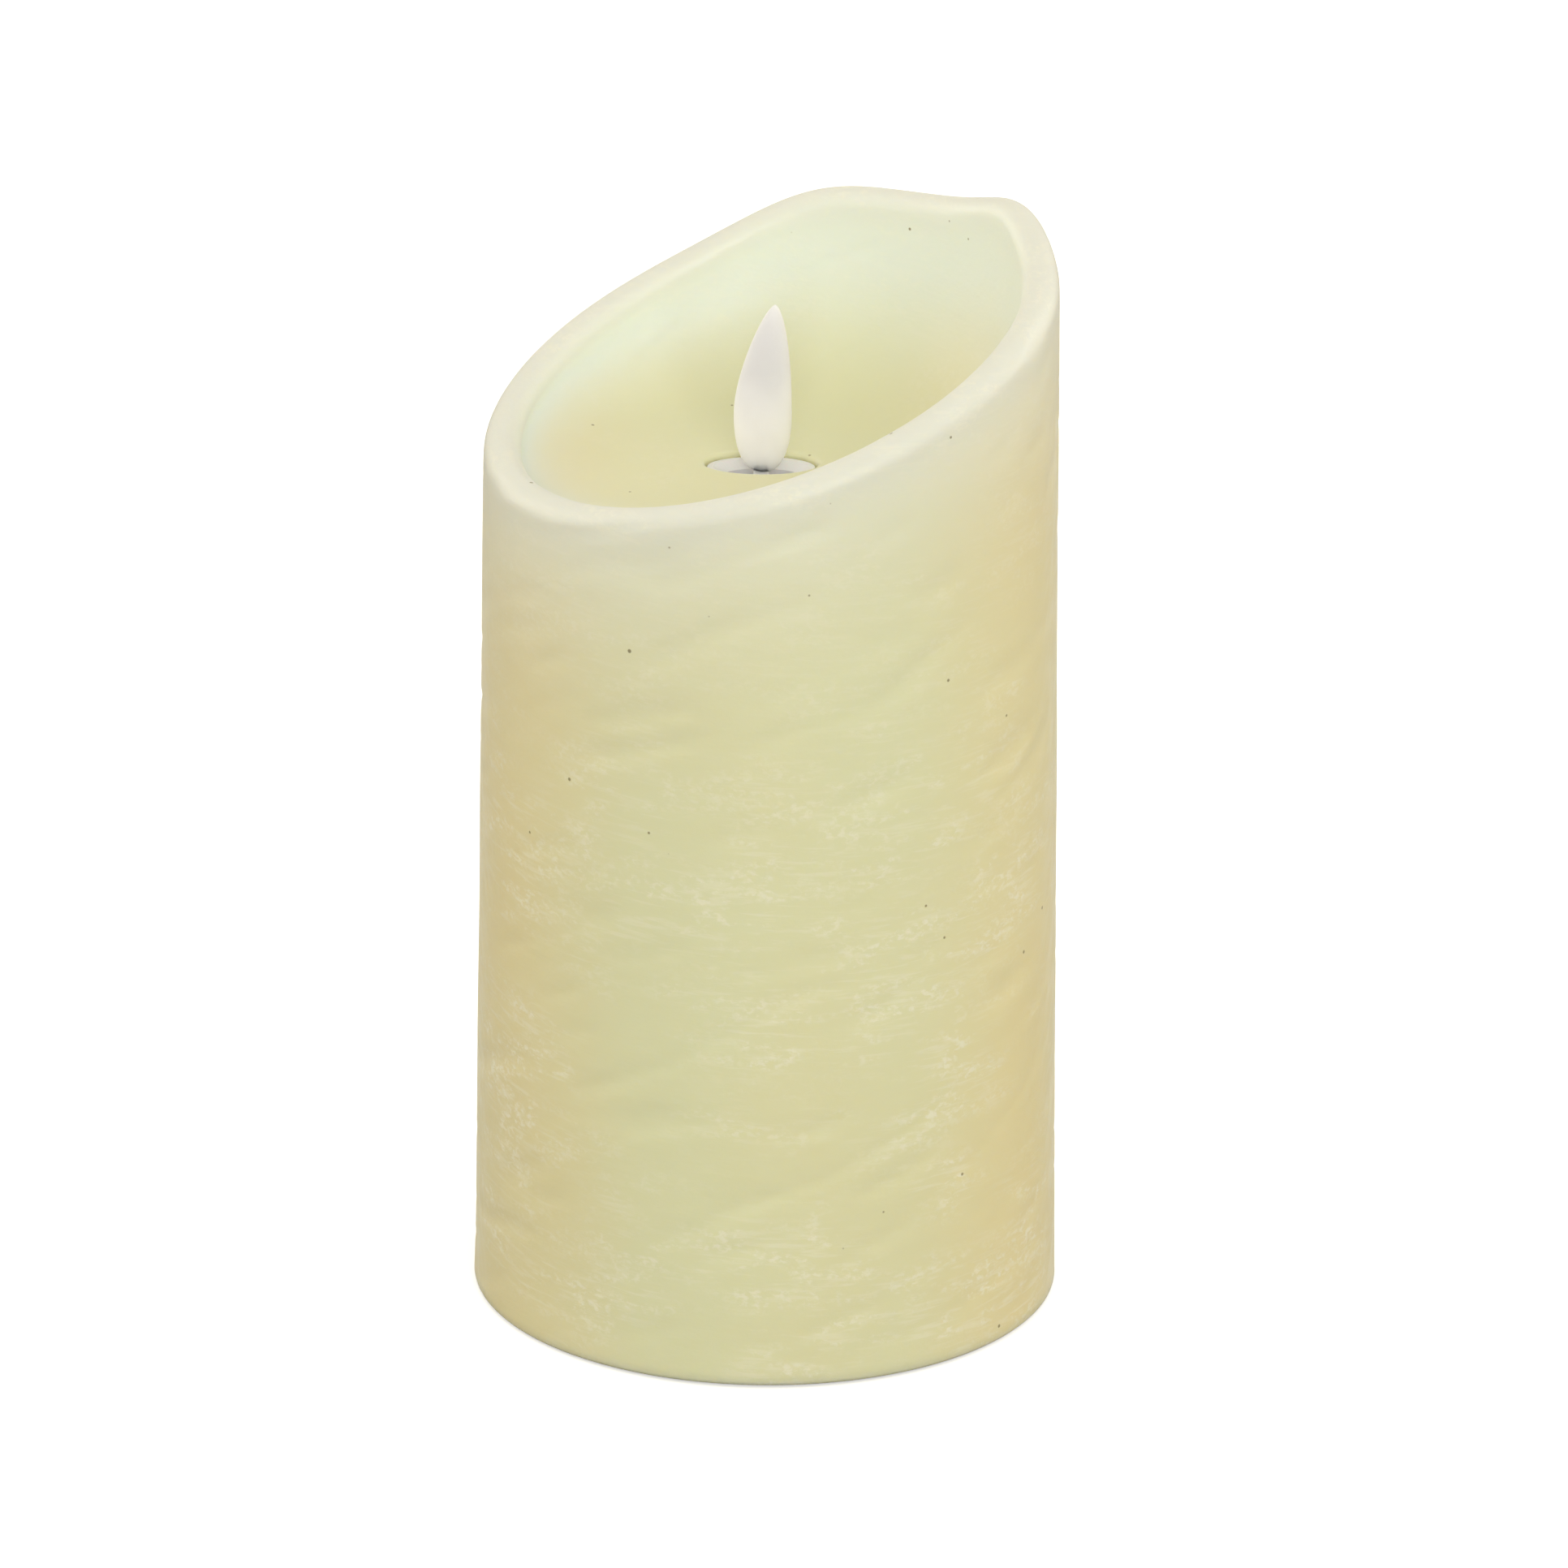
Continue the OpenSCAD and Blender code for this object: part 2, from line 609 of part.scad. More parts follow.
module switch_frame() color("silver") difference() {
    over_switch(switch_size, frame_z);
    over_switch(switch_size - [2 * frame_t, 2 * frame_t, 0], frame_z + frame_t);
    switch_slot(knob, frame_window_gap, frame_z - 1, 2);
}

module switch_body() color("#8a5a2b") difference() {
    g = frame_t + switch_fit;
    over_switch([switch_size[0] - 2 * g, switch_size[1] - 2 * g, pin_z + 0.3 - carriage_z], carriage_z - 0.3);
    switch_slot(carriage, carriage_gap, carriage_z - 1, carriage[2] + 1 + carriage_gap);
}

module switch_pins() color("gold") for (x = pin_x) translate([x, 0, 0]) over_switch(pin, pin_z);

module switch_slider() color("#222222") difference() {
    union() {
        over_switch(carriage, carriage_z);
        over_switch([knob[0], knob[1], carriage_z - knob_z + e], knob_z);
    }
    for (x = [-1, 0, 1]) translate([x, 0, 0])
        over_switch([knob_groove, knob[1] + 1, knob_groove], knob_z - e);
}

// ---------------------------------------------------------------- circuit board

module circuit_board() color("#1f6b3a") difference() {
    translate([-board_l / 2, board_y - board_w / 2, board_z]) cube([board_l, board_w, board_t]);
    for (p = board_holes)
        translate([p[0], p[1], board_z - 1]) cylinder(board_t + 2, r = small_screw_r + screw_gap);
}
module board_screws() color("silver") for (p = board_holes)
    on_board(p) mirror([0, 0, 1]) screw(small_screw_r, board_screw_l, small_head_r, small_head_h);

module on_board(p) translate([p[0], p[1], board_top]) children();

module controller_chip() color("#222222") on_board(chip_at) {
    cube(chip);
    for (i = [0:chip_legs - 1], y = [-chip_leg[1], chip[1] - e])
        translate([chip[0] / 2 + (i - (chip_legs - 1) / 2) * chip_leg_pitch - chip_leg[0] / 2, y, 0])
            cube(chip_leg + [0, e, 0]);
}
module capacitor() color("#20304f") on_board(capacitor_at) cylinder(capacitor_size[1], r = capacitor_size[0]);
module crystal() color("silver") on_board(crystal_at)
    translate([0, 0, crystal_size[0]]) rotate([0, 90, 0]) cylinder(crystal_size[1], r = crystal_size[0]);
module chip_resistors() color("#333333") for (i = [0:2], j = [0:1])
    on_board(resistor_at + [i * resistor_pitch[0], j * resistor_pitch[1]]) cube(resistor);
module drive_transistors() color("#222222") for (p = transistor_at) on_board(p) cube(transistor);

// ---------------------------------------------------------------- flame

// The flame's outline: its share of the full width, and its bend to one side, at the share s of its height
function flame_share(s) = sin(180 * pow(s, 0.643));
function flame_bend(s) = flame_lean * pow(max(0, (s - 0.4) / 0.6), 1.3);

module flame_petal() skin([for (i = [0:flame_steps]) let (
    s = 0.004 + 0.992 * (1 - cos(180 * i / flame_steps)) / 2,
    w = flame_w / 2 * pow(flame_share(s), 0.59), t = flame_t / 2 * pow(flame_share(s), 0.45))
    [for (k = [0:flame_sides - 1]) let (a = 360 * k / flame_sides)
        [flame_x + flame_bend(s) + w * cos(a), t * sin(a), flame_z + flame_h * s]]]);

// Places children on the axis of the magnet, at its lower face
module at_magnet() translate([flame_x, 0, magnet_z - magnet_h / 2]) children();
module along_pivot(r, l) translate([flame_x, -l / 2, pivot_z]) rotate([-90, 0, 0]) cylinder(l, r = r);

module flame() color("#f2efe6") difference() {
    union() {
        flame_petal();
        translate([flame_x - stem_w / 2, -stem_t / 2, magnet_z])
            cube([stem_w, stem_t, flame_z + 4 - magnet_z]);
        at_magnet() cylinder(magnet_h + cup_cap, r = flame_cup_r);
    }
    at_magnet() translate([0, 0, -e]) cylinder(magnet_h + magnet_gap + e, r = magnet_d / 2 + magnet_gap);
    along_pivot(wire_d / 2 + wire_gap, 2 * stem_t);
}
module flame_magnet() color("silver") at_magnet() cylinder(magnet_h, r = magnet_d / 2);
module flame_wire() color("silver") along_pivot(wire_d / 2, pivot_wire_l);

// ---------------------------------------------------------------- flame module

// A frame whose Z points along the lamp, from the middle of its base
module at_led() translate([flame_x, led_base_y, led_base_z]) rotate([led_tilt, 0, 0]) children();
// Places children on the axis of each lug, at the lug's upper face
module at_lugs() for (s = [-1, 1]) translate([flame_x + s * lug_x, 0, lug_top_z]) children();
// Places children along the axis of each clamp screw, from the parting plane
module at_clamps() for (p = clamp_points) translate([flame_x, p[0], p[1]]) rotate([0, 90, 0]) children();

module led_lamp() color("#f4f1e8") at_led() {
    cylinder(led_flange_h, r = led_flange_r);
    cylinder(led_l - led_d / 2, r = led_d / 2);
    translate([0, 0, led_l - led_d / 2]) sphere(r = led_d / 2);
}
module led_leads() color("silver") at_led() for (s = [-1, 1])
    translate([s * lead_pitch / 2 - lead_w / 2, -lead_w / 2, -lead_l]) cube([lead_w, lead_w, lead_l]);

module module_outside() {
    translate([flame_x - tower_x, -tower_front, coil_top_z])
        rounded_block([2 * tower_x, tower_front + tower_back, ceiling_z - coil_top_z], tower_corner_r);
    translate([flame_x, 0, module_bottom_z]) cylinder(drum_top_z - module_bottom_z, r = drum_r, $fn = 96);
    translate([flame_x, 0, ceiling_z - 1]) oval(collar_x, collar_y, collar_top_z - ceiling_z + 1);
    at_lugs() translate([0, 0, -lug_t]) cylinder(lug_t, r = lug_r);
    translate([flame_x - lug_x, -lug_r, lug_top_z - lug_t]) cube([2 * lug_x, 2 * lug_r, lug_t]);
    // the boss of the lower clamp screw, in front of the tower
    translate([flame_x - clamp_seat_x - 1, clamp_points[1][0], clamp_points[1][1]]) rotate([0, 90, 0])
        cylinder(2 * clamp_seat_x + 2, r = clamp_boss_r);
}

module module_inside() {
    translate([flame_x, 0, 0]) {
        // the bay that the magnet swings in, the mouth above it and the seat of the coil below it
        translate([-bay_x, -bay_y, coil_top_z])
            cube([2 * bay_x, 2 * bay_y, ceiling_z - coil_top_z - module_wall]);
        translate([0, 0, coil_top_z]) oval(slot_x, slot_y, collar_top_z);
        mouth();
        translate([0, 0, coil_bottom_z]) cylinder(coil_h + e, r = coil_d / 2 + coil_fit, $fn = 96);
        // the space for the lamp's leads, and the slot that their wires leave by
        translate([-lead_space_w / 2, 0, drum_top_z + 1])
            cube([lead_space_w, tower_back - module_wall, led_base_z - drum_top_z]);
        translate([-lead_space_w / 2, 0, lead_exit[0]])
            cube([lead_space_w, tower_back + 1, lead_exit[1] - lead_exit[0]]);
        for (x = coil_wire_x)
            translate([x, coil_wire_y, module_bottom_z - 1]) cylinder(module_wall + 2, r = wire_hole_r);
    }
    along_pivot(wire_d / 2 + 0.01, pivot_wire_l + e);
    at_clamps() {
        translate([0, 0, -clamp_seat_x]) cylinder(2 * clamp_seat_x, r = small_screw_r + thread_gap);
        translate([0, 0, -tower_x - 1]) cylinder(tower_x + 1 - clamp_seat_x, r = small_head_r + head_gap);
    }
    at_lugs() translate([0, 0, -lug_t - 1]) cylinder(lug_t + 2, r = small_screw_r + screw_gap);
    at_led() {
        translate([0, 0, -1]) cylinder(led_l + 1, r = led_d / 2 + led_gap);
        translate([0, 0, -1]) cylinder(led_flange_h + 1, r = led_flange_r + led_gap);
    }
}

// What the mouth takes out of the collar
module mouth() skin([
    [for (a = [0:7.5:352.5]) [slot_x / 2 * cos(a), slot_y / 2 * sin(a), collar_top_z - mouth_depth]],
    for (z = [0, 1]) [for (a = [0:7.5:352.5])
        [(collar_x / 2 - collar_rim) * cos(a), (collar_y / 2 - collar_rim) * sin(a), collar_top_z + z]]]);

// One half of the module, on the side s of the parting plane through the flame
module module_half(s) color("white") difference() {
    module_outside();
    module_inside();
    translate([s > 0 ? flame_x - 2 * lug_x : flame_x, -candle_d, module_bottom_z - 1])
        cube([2 * lug_x, 2 * candle_d, candle_h]);
}
module module_left_shell() module_half(-1);
module module_right_shell() module_half(1);

module module_clamp_screws() color("silver") at_clamps() translate([0, 0, -clamp_seat_x])
    screw(small_screw_r, clamp_screw_l, small_head_r, small_head_h);
module module_mount_screws() color("silver") at_lugs() translate([0, 0, -lug_t])
    screw(small_screw_r, lug_screw_l, small_head_r, small_head_h);

module coil_bobbin() color("#f2efe6") translate([flame_x, 0, coil_bottom_z]) difference() {
    union() {
        cylinder(flange_t, r = coil_d / 2);
        cylinder(coil_h, r = bobbin_core_r);
        translate([0, 0, coil_h - flange_t]) cylinder(flange_t, r = coil_d / 2);
    }
    translate([0, 0, -1]) cylinder(coil_h + 2, r = bobbin_bore_r);
}
module coil_winding() color("#b5652b")
    translate([flame_x, 0, coil_bottom_z + flange_t + winding_gap]) difference() {
        cylinder(coil_h - 2 * (flange_t + winding_gap), r = winding_r);
        translate([0, 0, -1]) cylinder(coil_h, r = bobbin_core_r + winding_gap);
    }

// ---------------------------------------------------------------- wires

// A wire from a contact's tab to its pad
module battery_wire(s, pad) {
    x = -box_l / 2 + contact_t / 2;
    y = box_y + s * cell_pitch / 2;
    wire([[x, y, tab_top], [x, y, tab_top + 3], [(x + pad[0]) / 2, (y + pad[1]) / 2, board_top + 6],
        [pad[0], pad[1], board_top + 3], [pad[0], pad[1], board_top + wire_end],
        [pad[0], pad[1], board_top]]);
}
module battery_wire_red() color("red") battery_wire(1, battery_pads[1]);
module battery_wire_black() color("#222222") battery_wire(-1, battery_pads[0]);

module switch_wires() color("#dddddd") for (x = pin_x) let (y = switch_pad_y, top = pin_z + pin[2])
    wire([[x, switch_y, top], [x, switch_y, top + 4], [x, switch_y - 1, board_top],
        [x, (switch_y + y) / 2, board_top + 4], [x, y, board_top + 2.5], [x, y, board_top + wire_end],
        [x, y, board_top]]);

module coil_wires() color("#b5652b") for (i = [0, 1])
    let (w = flame_x + coil_wire_x[i], p = coil_pads[i], y = coil_wire_y)
    wire([[p[0], p[1], board_top], [p[0], p[1], board_top + wire_end], [p[0], p[1], board_top + 5],
        [p[0], 2, (board_top + half_way_z) / 2],
        [(w + p[0]) / 2, -5, half_way_z], [w, y - 1, (module_bottom_z + half_way_z) / 2],
        [w, y, module_bottom_z - 4], [w, y, coil_bottom_z]]);

module led_wires() color("#dddddd") for (i = [0, 1])
    let (w = flame_x + (i - 0.5) * lead_pitch, p = led_pads[i],
        start = [w, lead_end[1], lead_end[2]], out = tower_back + 2.5, exit_z = lead_exit[1] - 1.5)
    wire([start, start + [0, 1.2, -1.8], [w, tower_back - 1, exit_z], [w, out, exit_z - 2.5],
        [w, out, module_bottom_z], [(w + p[0]) / 2, out + 2, half_way_z],
        [p[0], p[1] + 2, board_top + 8], [p[0], p[1], board_top + 3], [p[0], p[1], board_top + wire_end],
        [p[0], p[1], board_top]]);

// ---------------------------------------------------------------- the parts

wax_shell();
core_housing();
base_tray();
base_screws();
battery_door();
battery_front();
battery_back();
contact_positive();
contact_negative();
contact_link();
spring_front();
spring_back();
switch_body();
switch_frame();
switch_pins();
switch_slider();
circuit_board();
board_screws();
controller_chip();
capacitor();
crystal();
chip_resistors();
drive_transistors();
module_left_shell();
module_right_shell();
module_clamp_screws();
module_mount_screws();
coil_bobbin();
coil_winding();
led_lamp();
led_leads();
flame();
flame_magnet();
flame_wire();
battery_wire_red();
battery_wire_black();
switch_wires();
coil_wires();
led_wires();
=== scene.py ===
# %% [markdown]
# # A battery candle in real wax
#
# The object is a pillar of ivory paraffin wax, 90 mm across and 170 mm high. Its top is cast as if it had
# burnt down on one side: a slanting rim with two soft lobes, and a shallow dish inside it. In the dish is
# an oval opening, where a white plastic flame hangs on a wire and swings. Everything that works is under
# the dish: a flame module with a coil and a lamp, a circuit board, two AA cells, a switch and a door.
#
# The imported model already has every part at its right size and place. What it lacks is the look, so this
# lesson rebuilds the two pieces that the eye goes to, the wax and the flame, on a finer mesh, and gives
# every other part the finish of its real material.

# %% Load the frame
import json
import math

import bmesh
import bpy
from mathutils import Matrix, Vector, noise


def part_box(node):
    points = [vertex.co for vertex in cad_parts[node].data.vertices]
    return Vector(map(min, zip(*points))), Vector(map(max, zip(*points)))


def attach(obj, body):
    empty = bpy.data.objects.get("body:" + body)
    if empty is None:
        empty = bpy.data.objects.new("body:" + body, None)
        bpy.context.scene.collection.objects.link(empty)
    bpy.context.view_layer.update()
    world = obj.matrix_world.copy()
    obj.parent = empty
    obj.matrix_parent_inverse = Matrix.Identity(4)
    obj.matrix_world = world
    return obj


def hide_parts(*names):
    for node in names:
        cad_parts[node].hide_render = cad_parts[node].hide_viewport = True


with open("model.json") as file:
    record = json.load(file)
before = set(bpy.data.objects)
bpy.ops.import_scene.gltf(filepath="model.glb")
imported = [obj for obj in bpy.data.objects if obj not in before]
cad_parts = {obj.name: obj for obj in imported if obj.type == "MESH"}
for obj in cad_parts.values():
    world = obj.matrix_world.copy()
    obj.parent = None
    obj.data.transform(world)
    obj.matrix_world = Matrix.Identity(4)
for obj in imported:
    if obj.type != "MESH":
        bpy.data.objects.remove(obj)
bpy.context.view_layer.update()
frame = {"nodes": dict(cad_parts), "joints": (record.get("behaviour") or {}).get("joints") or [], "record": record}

# %% [markdown]
# ## Units
#
# Blender works in metres here, and a candle is easier to think of in millimetres. So every size below is in
# millimetres, and one factor turns it to metres where a mesh, a light or a pattern is made.

# %% Units
MM = 0.001


def place(x, y, z):
    """A point given in millimetres, as Blender wants it."""
    return Vector((x, y, z)) * MM


# %% [markdown]
# ## Camera
#
# A long lens from far away is what a product photographer uses: the sides of the pillar stay almost
# parallel. The camera stands 2.4 m off and looks down by 21.5 degrees, which opens the dish to the eye.
# It is turned about its own line of sight by half a degree, because the pillar stands very slightly askew.
# It looks a little past the middle of the candle, to the right and down, instead of using a lens shift.

# %% Camera
LOOK_AT = place(0, 0, 86)
CAMERA_DISTANCE = 2400
CAMERA_ELEVATION = math.radians(21.507)
CAMERA_ROLL = math.radians(0.49)
LENS = 359.7
AIM_RIGHT = 2.39
AIM_DOWN = 4.33

backward = Vector((0, -math.cos(CAMERA_ELEVATION), math.sin(CAMERA_ELEVATION)))
upward = Vector((0, math.sin(CAMERA_ELEVATION), math.cos(CAMERA_ELEVATION)))
lens = bpy.data.cameras.new("camera")
lens.lens = LENS
lens.sensor_width = 36
lens.clip_start = 0.1
lens.clip_end = 50
camera = bpy.data.objects.new("camera", lens)
bpy.context.scene.collection.objects.link(camera)
camera.location = LOOK_AT + backward * CAMERA_DISTANCE * MM
aim = LOOK_AT + (Vector((AIM_RIGHT, 0, 0)) - upward * AIM_DOWN) * MM
facing = (camera.location - aim).to_track_quat("Z", "Y").to_matrix().to_4x4()
camera.rotation_euler = (facing @ Matrix.Rotation(CAMERA_ROLL, 4, "Z")).to_euler()
bpy.context.scene.camera = camera
print("camera at", [round(c, 3) for c in camera.location])

# %% [markdown]
# ## Studio
#
# The candle stands in a light tent of cream cloth: faintly warm light comes from all round, and one large
# white soft box in front and above makes the front a little brighter and cooler than the sides. Two weaker
# ones stand at the sides, slightly behind, and keep the edges of the pillar from going dark. The view
# transform is Standard, so that a white of one is shown as a white of one.

# %% World and lights
TENT_COLOUR = (1, 0.945, 0.81, 1)
TENT_STRENGTH = 0.82
SOFT_BOX_SIZE = 1300
KEY_WATTS = 20.5
KEY_COLOUR = (0.95, 0.98, 1)
SIDE_WATTS = 12
SIDE_COLOUR = (1, 0.97, 0.88)

scene = bpy.context.scene
scene.view_settings.view_transform = "Standard"
world = bpy.data.worlds.new("light_tent")
world.use_nodes = True
world.node_tree.nodes["Background"].inputs["Color"].default_value = TENT_COLOUR
world.node_tree.nodes["Background"].inputs["Strength"].default_value = TENT_STRENGTH
scene.world = world


def soft_box(name, at, size, watts, colour):
    """A square area light that faces the middle of the candle."""
    box = bpy.data.lights.new(name, "AREA")
    box.size = size * MM
    box.energy = watts
    box.color = colour
    lamp = bpy.data.objects.new(name, box)
    scene.collection.objects.link(lamp)
    lamp.location = at
    lamp.rotation_euler = (at - LOOK_AT).to_track_quat("Z", "Y").to_euler()


soft_box("key", place(260, -1950, 760), SOFT_BOX_SIZE, KEY_WATTS, KEY_COLOUR)
soft_box("left_fill", place(-1800, 840, 500), SOFT_BOX_SIZE, SIDE_WATTS, SIDE_COLOUR)
soft_box("right_fill", place(1800, 840, 500), SOFT_BOX_SIZE, SIDE_WATTS, SIDE_COLOUR)

# %% [markdown]
# ## Colours and nodes
#
# Colours are written as the hex values that a paint chart gives, which are sRGB. Blender's shaders work in
# linear light, so one function turns them. Shaders are built from nodes, and typing each node, setting and
# link out would bury the recipe. So a second function takes a node's settings as one dictionary: a name in
# lower case is one of the node's own options, and any other name or number is a socket, which gets a value,
# or a link if the setting is another node's output.

# %% Colour and node helpers


def hex_colour(code):
    """An sRGB hex colour as linear red, green, blue and alpha."""
    shares = [int(code[i:i + 2], 16) / 255 for i in (0, 2, 4)]
    return tuple(c / 12.92 if c <= 0.04045 else ((c + 0.055) / 1.055) ** 2.4 for c in shares) + (1,)


def connect(tree, node, settings):
    """Gives a node its options, its values and its links."""
    for name, value in settings.items():
        if isinstance(value, bpy.types.NodeSocket):
            tree.links.new(value, node.inputs[name])
        elif isinstance(name, str) and name.islower():
            setattr(node, name, value)
        else:
            node.inputs[name].default_value = value


def add_node(tree, kind, settings, output=0):
    """Adds a node with its settings and links, and returns one of its outputs."""
    made = tree.nodes.new(kind)
    connect(tree, made, settings)
    return made.outputs[output]


def new_material(name, settings):
    """A material, its node tree and its Principled shader, which has those fixed values."""
    material = bpy.data.materials.new(name)
    material.use_nodes = True
    shader = material.node_tree.nodes["Principled BSDF"]
    connect(material.node_tree, shader, settings)
    return material, material.node_tree, shader


print("white in linear light:", hex_colour("FFFFFF"))

# %% [markdown]
# ## Floor
#
# The floor is the tent's sweep of paper. To the eye it is white right up to the candle, with only a faint
# shadow where the two meet. But it throws back no more light than grey paper does, so that the foot of the
# candle stays a little darker than its top. One sheet can do both, because the Light Path node tells the
# rays that the camera sends from those that light the candle.
#
# The base with its door and switch is worth a look too. So the sheet can't be seen from below, and right
# under the candle, where nothing else can see it, it glows like a light table. It lies a twentieth of a
# millimetre low, or the foot ring would lie in the very same plane and turn black.

# %% Floor
FLOOR_SIZE = 6000
FLOOR_GLOW = 0.42
FLOOR_GAP = 0.05
LIGHT_TABLE_R = 42.5

sweep, sweep_tree, seen_paper = new_material("white_paper_sweep", {
    "Base Color": hex_colour("F4F4F4"), "Roughness": 0.9,
    "Emission Color": (1, 1, 1, 1), "Emission Strength": FLOOR_GLOW})
from_middle = add_node(sweep_tree, "ShaderNodeVectorMath", {
    "operation": "LENGTH", 0: add_node(sweep_tree, "ShaderNodeTexCoord", {}, "Object")}, "Value")
lighting_paper = add_node(sweep_tree, "ShaderNodeMixShader", {
    0: add_node(sweep_tree, "ShaderNodeMath", {
        "operation": "LESS_THAN", 0: from_middle, 1: LIGHT_TABLE_R * MM}),
    1: add_node(sweep_tree, "ShaderNodeBsdfDiffuse", {"Color": hex_colour("827E74")}),
    2: add_node(sweep_tree, "ShaderNodeEmission", {"Color": TENT_COLOUR, "Strength": 1.0})})
shown_paper = add_node(sweep_tree, "ShaderNodeMixShader", {
    0: add_node(sweep_tree, "ShaderNodeNewGeometry", {}, "Backfacing"),
    1: seen_paper.outputs[0],
    2: add_node(sweep_tree, "ShaderNodeBsdfTransparent", {})})
either_paper = add_node(sweep_tree, "ShaderNodeMixShader", {
    0: add_node(sweep_tree, "ShaderNodeLightPath", {}, "Is Camera Ray"),
    1: lighting_paper, 2: shown_paper})
connect(sweep_tree, sweep_tree.nodes["Material Output"], {"Surface": either_paper})

floor_mesh = bpy.data.meshes.new("floor")
shape = bmesh.new()
bmesh.ops.create_grid(shape, x_segments=1, y_segments=1, size=FLOOR_SIZE / 2 * MM,
                      matrix=Matrix.Translation(place(0, 0, -FLOOR_GAP)))
shape.to_mesh(floor_mesh)
shape.free()
floor = bpy.data.objects.new("floor", floor_mesh)
scene.collection.objects.link(floor)
floor_mesh.materials.append(sweep)
print("floor", FLOOR_SIZE, "mm wide")

# %% [markdown]
# ## The shape of the wax
#
# A wax shell is poured in a mould, and the mould's parting gives it half a degree of draft. Its top was
# carved once by hand, and every casting repeats it. One formula gives the height of the rim all round:
# a slope, high at the right and back, and two lobes that stand on it. `LOBES` holds the direction and the
# width of each lobe in degrees.
#
# The plan for the mesh is the potter's: draw half a section, spin it round, and then push the rim up where
# it is high and down where it is low. Each point of the section carries two shares of its own. `lift` says
# how much of the rim's rise it takes, from 0 at the foot to 1 at the lip, and `oval` says how far it has
# turned from the round dish to the oval opening.

# %% Sizes of the wax
FOOT_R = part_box("wax_shell")[1].x / MM
DRAFT = math.tan(math.radians(0.5))
WAX_LIFT = 0.3
WAX_WALL = 7
FOOT_ROUND = 0.6
RIM_MID = 152
RIM_SLOPE = 15
RIM_HIGH_AT = 26.5
LOBE_H = 3
LOBES = [(81.5, 19.5), (25, 15)]
LIP_R = 3.2
LIP_INNER_R = 2.6
DISH_Z = 134
DISH_FLAT_R = 13
DISH_FULLNESS = 2.3
DISH_UNDER_Z = 128.5
FLAME_X = -1.5
HOLE_LONG_R = 8.6
HOLE_SHORT_R = 4.8
HOLE_EDGE_R = 0.8


def rim_height(angle):
    """The height of the rim in the direction of that angle, in degrees from +X."""
    lobes = 0
    for middle, width in LOBES:
        away = (angle - middle + 540) % 360 - 180
        lobes += LOBE_H * math.exp(-(away / width) ** 2)
    return RIM_MID + RIM_SLOPE * math.cos(math.radians(angle - RIM_HIGH_AT)) + lobes


def wax_radius(z):
    """The radius of the drafted outside at the height z."""
    return FOOT_R - z * DRAFT


rim_heights = [rim_height(angle) for angle in range(360)]
print("rim from", round(min(rim_heights), 1), "to", round(max(rim_heights), 1), "mm")

# %% [markdown]
# ## Draw half a section
#
# The outline starts under the foot and runs once round the wax: up the outside, over the lip, down into the
# dish, through the opening and back down the inside. Straight stretches need only their ends, and the
# outside and the dish get many rings, because the rim and the dents will bend them.

# %% The half section
WALL_RINGS = 100
DISH_RINGS = 34
CAVITY_RINGS = 12
FOOT_ROUND_STEPS = 3
LIP_STEPS = 9
LIP_INNER_STEPS = 6
HOLE_EDGE_STEPS = 4
DISH_FLOOR_SHARES = (0, 0.35, 0.7)
HOLE_RING_DEPTH = 2.5
UNDERSIDE_RADII = (22, 30)
lip_centre = wax_radius(RIM_MID) - LIP_R
dish_edge = (lip_centre - LIP_INNER_R, RIM_MID - LIP_INNER_R)


def arc(x, z, radius, start, end, steps):
    """Points along a quarter or so of a circle, from the angle start to the angle end, in degrees."""
    turns = [math.radians(start + (end - start) * i / steps) for i in range(steps + 1)]
    return [(x + radius * math.cos(t), z + radius * math.sin(t)) for t in turns]


def outside_and_lip():
    """The outline from under the foot up the outside and over the lip."""
    foot_r = wax_radius(WAX_LIFT) - FOOT_ROUND
    wall_low = WAX_LIFT + FOOT_ROUND
    wall_high = RIM_MID - LIP_R
    points = [(r, z, 0, 0) for r, z in arc(foot_r, wall_low, FOOT_ROUND, -90, 0, FOOT_ROUND_STEPS)]
    for i in range(1, WALL_RINGS):
        share = i / WALL_RINGS
        z = wall_low + (wall_high - wall_low) * share
        points.append((wax_radius(z), z, share, 0))
    points += [(r, z, 1, 0) for r, z in arc(lip_centre, wall_high, LIP_R, 0, 90, LIP_STEPS)]
    inner_lip = arc(lip_centre, dish_edge[1], LIP_INNER_R, 90, 180, LIP_INNER_STEPS)
    points += [(r, z, 1, 0) for r, z in inner_lip[1:]]
    return points


